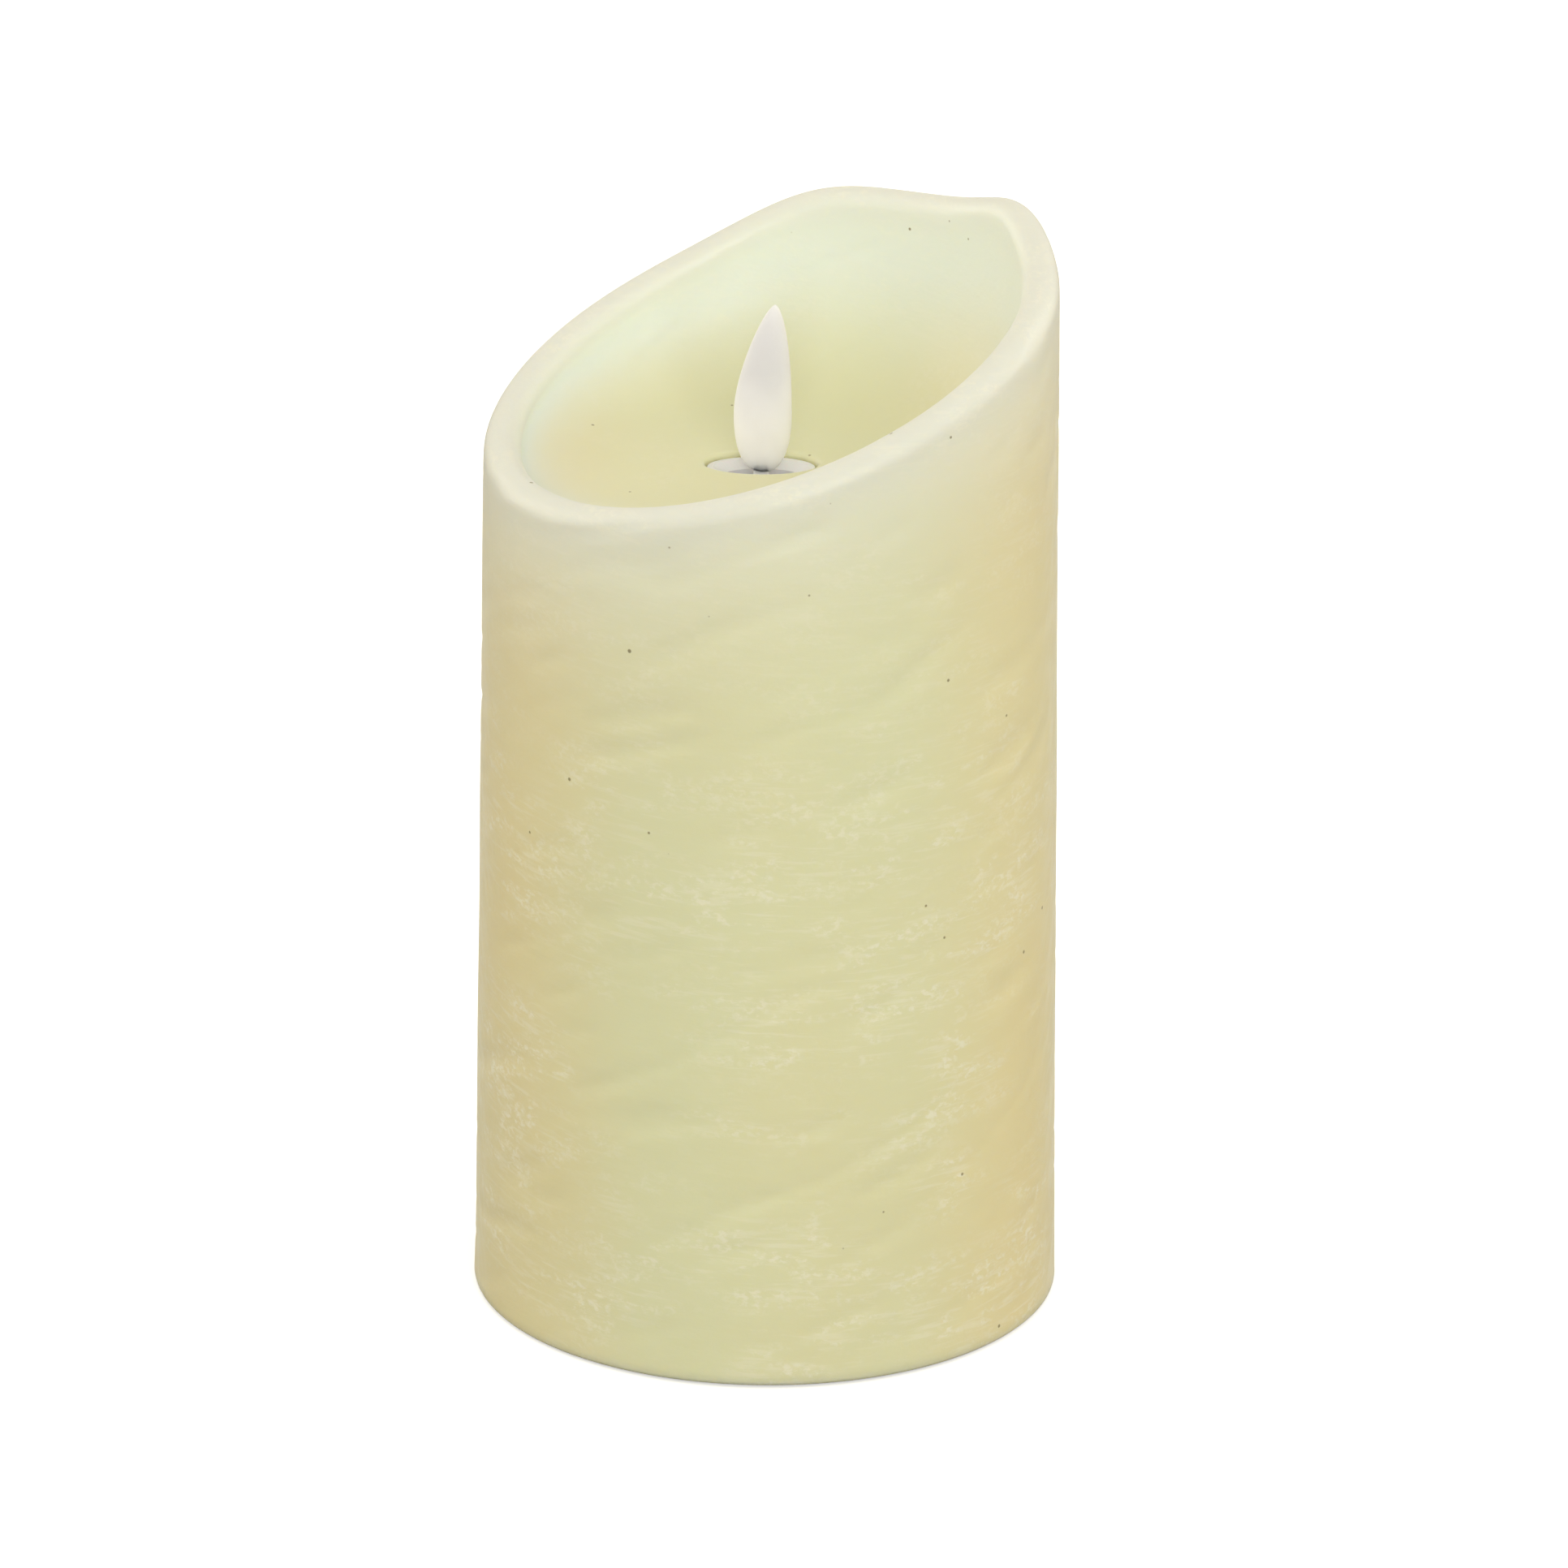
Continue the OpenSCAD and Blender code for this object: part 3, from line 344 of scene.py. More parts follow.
def dish_and_inside():
    """The outline down the dish, through the opening and down the inside to the foot."""
    points = []
    for i in range(1, DISH_RINGS):
        t = math.radians(90 * (1 - i / DISH_RINGS))
        rise = 1 - math.cos(t) ** (2 / DISH_FULLNESS)
        r = DISH_FLAT_R + (dish_edge[0] - DISH_FLAT_R) * math.sin(t) ** (2 / DISH_FULLNESS)
        points.append((r, DISH_Z + (dish_edge[1] - DISH_Z) * rise, rise, 0))
    edge_r = HOLE_LONG_R + HOLE_EDGE_R
    for share in DISH_FLOOR_SHARES:
        points.append((DISH_FLAT_R + (edge_r - DISH_FLAT_R) * share, DISH_Z, 0, share))
    hole_edge = arc(edge_r, DISH_Z - HOLE_EDGE_R, HOLE_EDGE_R, 90, 180, HOLE_EDGE_STEPS)
    points += [(r, z, 0, 1) for r, z in hole_edge]
    points += [(HOLE_LONG_R, z, 0, 1) for z in (DISH_Z - HOLE_RING_DEPTH, DISH_UNDER_Z)]
    cavity_top = wax_radius(DISH_UNDER_Z) - WAX_WALL
    points += [(r, DISH_UNDER_Z, 0, 0) for r in (DISH_FLAT_R, *UNDERSIDE_RADII, cavity_top)]
    for i in range(1, CAVITY_RINGS):
        z = DISH_UNDER_Z + (WAX_LIFT - DISH_UNDER_Z) * i / CAVITY_RINGS
        points.append((wax_radius(z) - WAX_WALL, z, 0, 0))
    points.append((wax_radius(WAX_LIFT) - WAX_WALL, WAX_LIFT, 0, 0))
    return points


def half_section():
    """The closed outline of the wax on the +X side, as (radius, height, lift, oval) in millimetres."""
    return outside_and_lip() + dish_and_inside()


print("points in the half section:", len(half_section()))

# %% [markdown]
# ## Waves and dents
#
# Hand-finished wax isn't a perfect cylinder. Slow waves a few centimetres long and shallow slanting dents,
# left by the cloth and the hands that took the casting out of its mould, catch the light along the sides.
# They are real geometry here, and they only ever go inwards, so the wax never grows past its true size.
# The dents read the noise from another place than the waves, so that they don't follow them.

# %% Waves and dents
WAVE_DEPTH = 0.22
WAVE_LENGTH = 34
WAVE_HEIGHT = 26
DENT_DEPTH = 0.28
DENT_LENGTH = 16
DENT_HEIGHT = 3.4
DENT_SLANT = 0.35
DENT_LEVEL = 0.22
DENT_FULL = 0.5
DENT_PLACE = 40


def smooth_step(share):
    """0 below 0, 1 above 1, and a smooth rise in between."""
    share = max(0, min(1, share))
    return share * share * (3 - 2 * share)


def waves(x, y, z):
    """How far the hand-finished skin of the wax lies below the ideal surface, in millimetres."""
    slow = noise.noise(Vector((x / WAVE_LENGTH, y / WAVE_LENGTH, z / WAVE_HEIGHT)))
    round_side = FOOT_R * abs(math.atan2(y, x))
    slanted = (z + DENT_SLANT * round_side) / DENT_HEIGHT
    quick = noise.noise(Vector((x / DENT_LENGTH, y / DENT_LENGTH, slanted + DENT_PLACE)))
    dents = max(0, quick - DENT_LEVEL) / DENT_FULL
    return WAVE_DEPTH * (0.5 + 0.5 * slow) + DENT_DEPTH * min(1, dents)


print("the skin lies up to", WAVE_DEPTH + DENT_DEPTH, "mm below the ideal surface")

# %% [markdown]
# ## Pour the wax
#
# A full spin with its ends merged closes the ring. Then every vertex is moved once: up or down by its share
# of the rim, inwards by the draft that goes with that height, and near the opening from a circle to an oval.
# Each vertex also keeps three shares for the material: the glow share, near 1 at the lip and the upper wall of
# the dish and fading below them, where a paler colour is painted as a painted glow for light through the thin
# wax, `dish`, 1 inside the rim, and `crest`, 1 on the very top of the lip, where a deeper colour is painted as
# painted shade for the strong light from above.

# %% Pour the wax
WAX_STEPS = 288
WAVE_ONSET = 16
# How the painted glow fades below the rim and into the dish, and how far the crest's painted shade reaches.
LIP_FADE = 17
LIP_FADE_POWER = 1.3
CREST_FADE = 5
CREST_WIDTH = 1.3
CREST_STEEPNESS = 8
DISH_FADE = 0.8


def spin_section(points, steps):
    """A bmesh with the outline spun all round, whose vertices keep their lift and oval shares."""
    shape = bmesh.new()
    lift = shape.verts.layers.float.new("lift")
    oval = shape.verts.layers.float.new("oval")
    outline = []
    for r, z, lift_share, oval_share in points:
        vertex = shape.verts.new((r, 0, z))
        vertex[lift] = lift_share
        vertex[oval] = oval_share
        outline.append(vertex)
    edges = [shape.edges.new((a, b)) for a, b in zip(outline, outline[1:] + outline[:1])]
    bmesh.ops.spin(shape, geom=outline + edges, cent=(0, 0, 0), axis=(0, 0, 1), angle=2 * math.pi,
                   steps=steps, use_merge=True)
    return shape, lift, oval


def material_shares(r, below, lift_share):
    """The shares thin, dish and crest of a vertex at the radius r, that far below the rim."""
    # The glow share is where a paler colour is painted as a painted glow; the crest share is painted shade.
    past_lip = (lip_centre - r) / LIP_R
    dish = smooth_step(past_lip)
    outside = math.exp(-(below / LIP_FADE) ** LIP_FADE_POWER)
    inside = smooth_step(lift_share / DISH_FADE)
    if r > lip_centre:
        crest = math.exp(-(below / CREST_FADE) ** 2)
    else:
        near_top = smooth_step(1 - CREST_STEEPNESS * (1 - lift_share))
        crest = smooth_step(CREST_WIDTH - past_lip) * near_top
    return outside + (inside - outside) * dish, dish, crest


def pour_wax():
    """The wax shell on its fine mesh, whose vertices keep their shares for the material."""
    shape, lift, oval = spin_section(half_section(), WAX_STEPS)
    painted_glow = shape.verts.layers.float.new("painted_glow")
    dish = shape.verts.layers.float.new("dish")
    crest = shape.verts.layers.float.new("crest")
    for vertex in shape.verts:
        x, y, z = vertex.co
        r = math.hypot(x, y)
        angle = math.atan2(y, x)
        rise = vertex[lift] * (rim_height(math.degrees(angle)) - RIM_MID)
        r -= rise * DRAFT
        z += rise
        if vertex[lift] > 0:
            side = max(-1, min(1, (lip_centre - r) / LIP_R))
            r += side * waves(x, y, z) * min(1, vertex[lift] * WAVE_ONSET)
        hole_x = FLAME_X + r * math.cos(angle)
        hole_y = (r - HOLE_LONG_R + HOLE_SHORT_R) * math.sin(angle)
        share = vertex[oval]
        below = max(0, rim_height(math.degrees(angle)) - z)
        # Shares for painted light: a painted glow near the lip, and painted shade on the crest.
        vertex[painted_glow], vertex[dish], vertex[crest] = material_shares(r, below, vertex[lift])
        vertex.co = place(
            r * math.cos(angle) * (1 - share) + hole_x * share,
            r * math.sin(angle) * (1 - share) + hole_y * share,
            z)
    bmesh.ops.recalc_face_normals(shape, faces=shape.faces)
    return shape


# %% [markdown]
# ## From a bmesh to a piece
#
# A bmesh is only a drawing board. A finished piece is an object with that mesh, shaded smooth, with its
# material, which rides on a body of the model and stands for the plain parts that it hides.

# %% Finished pieces
def finished_piece(name, shape, material, body, slot, *nodes):
    """Turns a bmesh into a smooth piece that stands for those CAD nodes and moves with their body."""
    mesh = bpy.data.meshes.new(name)
    shape.to_mesh(mesh)
    shape.free()
    mesh.polygons.foreach_set("use_smooth", [True] * len(mesh.polygons))
    mesh.materials.append(material)
    piece = bpy.data.objects.new(name, mesh)
    scene.collection.objects.link(piece)
    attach(piece, body)
    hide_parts(*nodes)
    print(name, "has", sum(len(p.vertices) - 2 for p in mesh.polygons), "triangles")
    return piece


# %% [markdown]
# ## Marks on a surface
#
# No real surface is even. Bloom on wax, the flow of a plastic, the dullness of a plating and the grain of a
# mould are all soft marks of some length and height, and noise makes them all. A Mapping node of the type
# Texture draws the noise out: its scale is the size of the marks themselves, so it is given in real
# millimetres, and its rotation slants them. Then the noise is cut between a low and a high level, which
# says how much of the surface is marked, and how hard the edges of the marks are.

# %% Marks
def marks(tree, along, up, low, high, detail=2, roughness=0.5, bend=0.0, slant=0):
    """Soft marks from 0 to 1, that many millimetres long round a piece and that high, at that slant."""
    turned = math.radians(slant)
    drawn_out = add_node(tree, "ShaderNodeMapping", {
        "vector_type": "TEXTURE", "Vector": add_node(tree, "ShaderNodeTexCoord", {}, "Object"),
        "Rotation": (turned, turned, 0), "Scale": (along * MM, along * MM, up * MM)})
    clouds = add_node(tree, "ShaderNodeTexNoise", {
        "Vector": drawn_out, "Scale": 1.0, "Detail": detail, "Roughness": roughness, "Distortion": bend})
    return add_node(tree, "ShaderNodeMapRange", {
        "interpolation_type": "SMOOTHSTEP", "Value": clouds, "From Min": low, "From Max": high})


# %% [markdown]
# ## Ivory paraffin wax
#
# Paraffin is a mass of tiny crystals in a clear oil: light goes a few millimetres into it and comes out
# again softened, so the thin lip glows and the thick body looks deep. That is what subsurface scattering is
# for. The ivory drifts at random between a greener and a warmer tone, and towards the two sides it is
# painted warmer as well: painted shade, for sides that get less light than the front. It is painted paler
# at the lip and on the upper wall of the dish, a painted glow for light through the thin wax, and a shade
# deeper on the crest of the lip, painted shade for the strong light from above.

# %% Wax colour, with painted shade and glow
# The warmer tone drifts at random, and is also painted towards the two sides as painted shade.
WAX_GREENER = "E1E2BE"
WAX_WARM_AND_SIDE_SHADE = "E6DAAC"
# A paler painted glow at the lip and the upper dish for light through the thin wax; painted shade on the crest.
WAX_PAINTED_LIP_GLOW = "EAEBDD"
WAX_PAINTED_DISH_GLOW = "E3E8DE"
WAX_PAINTED_CREST_SHADE = "DCDDD5"
SIDE_SHADE_FROM = 18
SIDE_SHADE_FULL = 42
WARM_MIDDLE = 0.1
SIDE_SHADE_WARMTH = 0.8
WARM_DRIFT = 0.2


def dye_and_painted_light(tree, sideways, painted_glow, dish):
    """Random tones, painted shade at the sides, painted glow at the lip and painted shade on its crest."""
    # Warmer towards the sides: painted shade for the sides, which get less light than the front.
    painted_side_shade = add_node(tree, "ShaderNodeMapRange", {
        "interpolation_type": "SMOOTHSTEP", "Value": sideways, "From Min": SIDE_SHADE_FROM * MM,
        "From Max": SIDE_SHADE_FULL * MM, "To Min": WARM_MIDDLE, "To Max": SIDE_SHADE_WARMTH})
    clouds = marks(tree, along=45, up=60, low=0.35, high=0.65, detail=1)
    drift_and_side_shade = add_node(tree, "ShaderNodeMath", {
        "operation": "MULTIPLY_ADD", 0: clouds, 1: WARM_DRIFT, 2: painted_side_shade})
    body = add_node(tree, "ShaderNodeMix", {
        "data_type": "RGBA", 0: drift_and_side_shade, 6: hex_colour(WAX_GREENER), 7: hex_colour(WAX_WARM_AND_SIDE_SHADE)}, 2)
    # Paler at the lip and in the upper dish: a painted glow for the light that shines through the thin wax.
    edge = add_node(tree, "ShaderNodeMix", {
        "data_type": "RGBA", 0: dish, 6: hex_colour(WAX_PAINTED_LIP_GLOW), 7: hex_colour(WAX_PAINTED_DISH_GLOW)}, 2)
    # Deeper on the crest of the lip: painted shade, as the crest faces the strong light from above.
    crest = add_node(tree, "ShaderNodeAttribute", {"attribute_name": "crest"}, "Fac")
    glow_and_crest_shade = add_node(tree, "ShaderNodeMix", {
        "data_type": "RGBA", 0: crest, 6: edge, 7: hex_colour(WAX_PAINTED_CREST_SHADE)}, 2)
    return add_node(tree, "ShaderNodeMix", {"data_type": "RGBA", 0: painted_glow, 6: body, 7: glow_and_crest_shade}, 2)


# %% [markdown]
# ## Bloom
#
# On the skin of the wax is bloom: where it was rubbed or cooled fast, its crystals turn whitish and dull. It
# could be painted by hand, but a formula covers the whole pillar alike. Two kinds of mark lie in patches,
# most of them in the lower half: faint strokes about 7 mm long that slant a little, and clusters of flecks
# a millimetre across. Along both sides the seam of the mould was scraped off, with steep scratches some 15 mm
# to each side, and that band is also painted paler all over: a painted highlight for the light the sides catch.

# %% Bloom
BLOOM_TOP = 128
BLOOM_FULL = 68
BLOOM_ABOVE = 0.45
BLOOM_IN_DISH = 0.5
STROKE_STRENGTH = 0.55
SEAM_EDGE = 19
SEAM_CORE = 2
# The lowest level is painted over the whole band along each side, a painted highlight; the scratches rise above
# it.
PAINTED_EDGE_HIGHLIGHT = 0.2
SCRATCH_HIGH = 0.85


def bloom_and_edge_light(tree, high, seam_distance, painted_glow, dish):
    """How whitish the skin is, from 0 to 1: bloom, scratches and a painted highlight along the sides."""
    lower_half = add_node(tree, "ShaderNodeMapRange", {
        "interpolation_type": "SMOOTHSTEP", "Value": high, "From Min": BLOOM_TOP * MM,
        "From Max": BLOOM_FULL * MM, "To Min": BLOOM_ABOVE})
    outside = add_node(tree, "ShaderNodeMapRange", {
        "Value": dish, "To Min": 1.0, "To Max": BLOOM_IN_DISH})
    exposed = add_node(tree, "ShaderNodeMath", {"operation": "MULTIPLY", 0: lower_half, 1: outside})
    rubbed_spots = marks(tree, along=26, up=13, low=0.36, high=0.58)
    patches = add_node(tree, "ShaderNodeMath", {"operation": "MULTIPLY", 0: rubbed_spots, 1: exposed})
    drawn = marks(tree, along=7, up=0.8, low=0.5, high=0.68, detail=3, roughness=0.6, bend=0.4, slant=2)
    strokes = add_node(tree, "ShaderNodeMath", {"operation": "MULTIPLY", 0: drawn, 1: STROKE_STRENGTH})
    fine = marks(tree, along=1.4, up=0.8, low=0.44, high=0.66, detail=3, roughness=0.65, bend=0.3, slant=3)
    clusters = marks(tree, along=11, up=3.5, low=0.44, high=0.6, bend=0.6, slant=-3)
    flecks = add_node(tree, "ShaderNodeMath", {"operation": "MULTIPLY", 0: fine, 1: clusters})
    both = add_node(tree, "ShaderNodeMath", {"operation": "MAXIMUM", 0: strokes, 1: flecks})
    rubbed = add_node(tree, "ShaderNodeMath", {"operation": "MULTIPLY", 0: both, 1: patches})
    lip_or_dish = add_node(tree, "ShaderNodeMath", {"operation": "MAXIMUM", 0: painted_glow, 1: dish})
    # Along each side a band painted paler all over, a painted highlight for the light the sides catch, with real
    # scratches.
    seam_and_edge_light = add_node(tree, "ShaderNodeMapRange", {
        "interpolation_type": "SMOOTHSTEP", "Value": seam_distance, "From Min": SEAM_EDGE * MM,
        "From Max": SEAM_CORE * MM, "To Max": add_node(tree, "ShaderNodeMath", {
            "operation": "SUBTRACT", 0: 1.0, 1: lip_or_dish})})
    steep = marks(tree, along=7, up=1.1, low=0.42, high=0.6, detail=3, roughness=0.6, bend=0.3, slant=50)
    scratches = add_node(tree, "ShaderNodeMapRange", {
        "Value": steep, "To Min": PAINTED_EDGE_HIGHLIGHT, "To Max": SCRATCH_HIGH})
    scraped_and_edge_light = add_node(tree, "ShaderNodeMath", {"operation": "MULTIPLY", 0: scratches, 1: seam_and_edge_light})
    return add_node(tree, "ShaderNodeMath", {"operation": "MAXIMUM", 0: rubbed, 1: scraped_and_edge_light})


# %% [markdown]
# ## Specks
#
# A few dark specks of dust and soot are cast into the wax, each 0.3 to 0.7 mm across. They could be small
# pieces of their own, but a Voronoi pattern is lighter: it divides the wax into cells 3 mm wide, each with
# a random colour, and only the few cells whose red is high enough have a dot in their middle. More of them
# settle in the dish. The green of the cell makes its dot larger or smaller.

# %% Specks
SPECK_CELL = 3
SPECK_RARITY = 0.945
SPECKS_IN_DISH = 0.05
SPECK_VARIETY = 0.07
SPECK_EDGE = 0.14
SPECK_CORE = 0.08
SPECK_STRENGTH = 0.8


def specks(tree, dish):
    """Where the wax is dark from a speck, from 0 to 1."""
    spread = add_node(tree, "ShaderNodeMapping", {
        "vector_type": "TEXTURE", "Vector": add_node(tree, "ShaderNodeTexCoord", {}, "Object"),
        "Scale": (SPECK_CELL * MM, SPECK_CELL * MM, SPECK_CELL * MM)})
    cells = add_node(tree, "ShaderNodeTexVoronoi", {"feature": "F1", "Vector": spread, "Scale": 1.0}).node
    red, green, _ = add_node(tree, "ShaderNodeSeparateColor", {0: cells.outputs["Color"]}).node.outputs
    luck = add_node(tree, "ShaderNodeMath", {
        "operation": "MULTIPLY_ADD", 0: dish, 1: SPECKS_IN_DISH, 2: red})
    chosen = add_node(tree, "ShaderNodeMath", {"operation": "GREATER_THAN", 0: luck, 1: SPECK_RARITY})
    away = add_node(tree, "ShaderNodeMath", {
        "operation": "MULTIPLY_ADD", 0: green, 1: SPECK_VARIETY, 2: cells.outputs["Distance"]})
    dot = add_node(tree, "ShaderNodeMapRange", {
        "interpolation_type": "SMOOTHSTEP", "Value": away, "From Min": SPECK_EDGE,
        "From Max": SPECK_CORE, "To Max": SPECK_STRENGTH})
    return add_node(tree, "ShaderNodeMath", {"operation": "MULTIPLY", 0: chosen, 1: dot})


# %% [markdown]
# ## The finished wax
#
# Over this colour come the bloom, the painted highlight along the sides and the specks. Bloom is duller than
# bare wax, and the skin has a relief of its own: a grain finer than a millimetre, and ripples a few
# millimetres long from the cooling mould. A little sheen stands for the dust-fine crystals that turn the wax
# pale where it is seen at a low angle.

# %% Wax material
WAX_BLOOM_AND_EDGE_LIGHT = "F1EEDC"
WAX_SOOT = "857850"
WAX_GLOW_DEPTH = 3.2
BLOOM_AND_HIGHLIGHT_STRENGTH = 0.62
BARE_ROUGHNESS = 0.42
BLOOM_ROUGHNESS = 0.6
GRAIN_SHARE = 0.3
RELIEF_DEPTH = 0.12


def paraffin():
    material, tree, shader = new_material("ivory_paraffin_wax", {
        "IOR": 1.44, "Subsurface Weight": 1.0, "Subsurface Radius": (1.0, 0.9, 0.7),
        "Subsurface Scale": WAX_GLOW_DEPTH * MM, "Sheen Weight": 0.2, "Sheen Roughness": 0.35})
    x, y, z = add_node(tree, "ShaderNodeSeparateXYZ", {
        0: add_node(tree, "ShaderNodeTexCoord", {}, "Object")}).node.outputs
    sideways = add_node(tree, "ShaderNodeMath", {"operation": "ABSOLUTE", 0: x})
    seam_distance = add_node(tree, "ShaderNodeMath", {"operation": "ABSOLUTE", 0: y})
    painted_glow = add_node(tree, "ShaderNodeAttribute", {"attribute_name": "painted_glow"}, "Fac")
    dish = add_node(tree, "ShaderNodeAttribute", {"attribute_name": "dish"}, "Fac")
    whitish = bloom_and_edge_light(tree, z, seam_distance, painted_glow, dish)
    # The whitish colour is both bloom and the painted highlight along the sides.
    with_bloom_and_edge_light = add_node(tree, "ShaderNodeMix", {
        "data_type": "RGBA",
        0: add_node(tree, "ShaderNodeMath", {
            "operation": "MULTIPLY", 0: whitish, 1: BLOOM_AND_HIGHLIGHT_STRENGTH}),
        6: dye_and_painted_light(tree, sideways, painted_glow, dish), 7: hex_colour(WAX_BLOOM_AND_EDGE_LIGHT)}, 2)
    specked = add_node(tree, "ShaderNodeMix", {
        "data_type": "RGBA", 0: specks(tree, dish), 6: with_bloom_and_edge_light, 7: hex_colour(WAX_SOOT)}, 2)
    grain = marks(tree, along=0.9, up=0.6, low=0, high=1, detail=3, roughness=0.6)
    ripples = marks(tree, along=7, up=2.2, low=0, high=1)
    relief = add_node(tree, "ShaderNodeMath", {
        "operation": "MULTIPLY_ADD", 0: grain, 1: GRAIN_SHARE, 2: ripples})
    connect(tree, shader, {
        "Base Color": specked,
        "Roughness": add_node(tree, "ShaderNodeMapRange", {
            "Value": whitish, "To Min": BARE_ROUGHNESS, "To Max": BLOOM_ROUGHNESS}),
        "Normal": add_node(tree, "ShaderNodeBump", {
            "Height": relief, "Distance": RELIEF_DEPTH * MM, "Strength": 0.5})})
    return material


finished_piece("wax_pillar", pour_wax(), paraffin(), "root", "wax", "wax_shell")

# %% [markdown]
# ## The flame's petal
#
# The flame is one small injection moulding in milky plastic: a flat petal that shows, a stem below it with
# an eye for the pivot wire, and a cup at the foot that holds the magnet. A coil pushes on the magnet, and
# the petal sways on its wire.
#
# The petal is spun like the wax, from the outline of its wide side, and then pressed flat and bent. Its
# width and its thickness follow the same curve with different powers, so the tip and the foot stay full.

# %% Petal
FLAME_H = 27
FLAME_Z = 132.4
FLAME_HALF_W = 4.42
FLAME_HALF_T = 1.6
FLAME_LEAN = 1.75
FLAME_SHIFT = 0.2
FLAME_RINGS = 44
FLAME_STEPS = 40
PETAL_FULLEST = 0.643
WIDTH_POWER = 0.61
THICKNESS_POWER = 0.45
BEND_FROM = 0.4
BEND_POWER = 1.3
SAME_POINT = 0.001


def petal_share(s):
    """The petal's share of its full width at the share s of its height."""
    return max(0, math.sin(math.pi * s ** PETAL_FULLEST))


def press_petal(shape):
    """Adds the petal: a spun outline, pressed flat and bent towards its tip."""
    outline = []
    for i in range(FLAME_RINGS + 1):
        s = (1 - math.cos(math.pi * i / FLAME_RINGS)) / 2
        outline.append(shape.verts.new((FLAME_HALF_W * petal_share(s) ** WIDTH_POWER, 0, s)))
    edges = [shape.edges.new(pair) for pair in zip(outline, outline[1:])]
    bmesh.ops.spin(shape, geom=outline + edges, cent=(0, 0, 0), axis=(0, 0, 1), angle=2 * math.pi,
                   steps=FLAME_STEPS, use_merge=True)
    bmesh.ops.remove_doubles(shape, verts=shape.verts, dist=SAME_POINT)
    for vertex in shape.verts:
        x, y, s = vertex.co
        s = max(0, min(1, s))
        flat = 0
        if 0 < s < 1:
            flat = FLAME_HALF_T / FLAME_HALF_W * petal_share(s) ** (THICKNESS_POWER - WIDTH_POWER)
        bend = FLAME_LEAN * max(0, (s - BEND_FROM) / (1 - BEND_FROM)) ** BEND_POWER
        vertex.co = (FLAME_X + FLAME_SHIFT + x + bend, y * flat, FLAME_Z + FLAME_H * s)


print("petal", 2 * FLAME_HALF_W, "mm wide,", 2 * FLAME_HALF_T, "mm thick and", FLAME_H, "mm high")

# %% [markdown]
# ## The flame's stem
#
# The wire goes through an eye in the stem. A boolean could drill it, but the eye is easy to build as a ring:
# two circles are bridged, the outer one is squared off, and the ring is extruded to the stem's thickness.
# Then the stem is extruded up and down from the square's upper and lower side, and tapers into the petal.

# %% Stem
PIVOT_Z = frame["joints"][0]["pos_m"][2] / MM
STEM_W = 3.8
STEM_T = 2.6
STEM_TAPER = 0.5
STEM_IN_PETAL = 1.2
EYE_R = 0.43
EYE_SIDES = 32
SAME_LEVEL = 0.01
CUP_CAP = 1.05
magnet_low, magnet_high = (corner.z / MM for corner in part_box("flame_magnet"))


def add_stem(shape):
    """Adds the eye for the wire, and the stem above and below it."""
    half = STEM_W / 2
    upright = Matrix.Translation((FLAME_X, -STEM_T / 2, PIVOT_Z)) @ Matrix.Rotation(math.pi / 2, 4, "X")
    rings = [bmesh.ops.create_circle(shape, segments=EYE_SIDES, radius=r)["verts"] for r in (EYE_R, half)]
    for vertex in rings[1]:
        vertex.co *= half / max(abs(vertex.co.x), abs(vertex.co.y))
    verts = rings[0] + rings[1]
    bmesh.ops.transform(shape, matrix=upright, verts=verts)
    loops = list({edge for vertex in verts for edge in vertex.link_edges})
    front = bmesh.ops.bridge_loops(shape, edges=loops)["faces"]
    back = bmesh.ops.extrude_face_region(shape, geom=front)["geom"]
    moved = [item for item in back if isinstance(item, bmesh.types.BMVert)]
    bmesh.ops.translate(shape, verts=moved, vec=(0, STEM_T, 0))
    ends_of_stem = ((1, FLAME_Z + STEM_IN_PETAL, STEM_TAPER), (-1, magnet_high + CUP_CAP, 1))
    for side, end_z, taper in ends_of_stem:
        level = PIVOT_Z + side * half
        ends = [face for face in shape.faces
                if all(abs(vertex.co.z - level) < SAME_LEVEL for vertex in face.verts)]
        stretched_to = bmesh.ops.extrude_face_region(shape, geom=ends)["geom"]
        bmesh.ops.delete(shape, geom=ends, context="FACES")
        for item in stretched_to:
            if isinstance(item, bmesh.types.BMVert):
                item.co = (FLAME_X + (item.co.x - FLAME_X) * taper, item.co.y * taper, end_z)


print("stem from", round(magnet_high + CUP_CAP, 2), "to", FLAME_Z + STEM_IN_PETAL, "mm")

# %% [markdown]
# ## The flame's cup, and the whole moulding
#
# The cup is a short round pot, open below, that the magnet is pressed into. It is a half section again, spun
# about the flame's own axis. The three shapes overlap a little, as they are one piece of plastic.

# %% Cup and moulding
MAGNET_R = 3.05
CUP_R = 3.9
CUP_ROUND = 0.25
CUP_ROUND_STEPS = 4
CUP_STEPS = 48
MAGNET_GAP = 0.05


def add_cup(shape):
    """Adds the cup that holds the magnet, open below."""
    top = magnet_high + CUP_CAP
    pocket = magnet_high + MAGNET_GAP
    outline = [(0, top)]
    outline += arc(CUP_R - CUP_ROUND, top - CUP_ROUND, CUP_ROUND, 90, 0, CUP_ROUND_STEPS)
    outline += [(CUP_R, magnet_low), (MAGNET_R, magnet_low), (MAGNET_R, pocket), (0, pocket)]
    verts = [shape.verts.new((FLAME_X + r, 0, z)) for r, z in outline]
    edges = [shape.edges.new(pair) for pair in zip(verts, verts[1:])]
    bmesh.ops.spin(shape, geom=verts + edges, cent=(FLAME_X, 0, 0), axis=(0, 0, 1), angle=2 * math.pi,
                   steps=CUP_STEPS, use_merge=True)


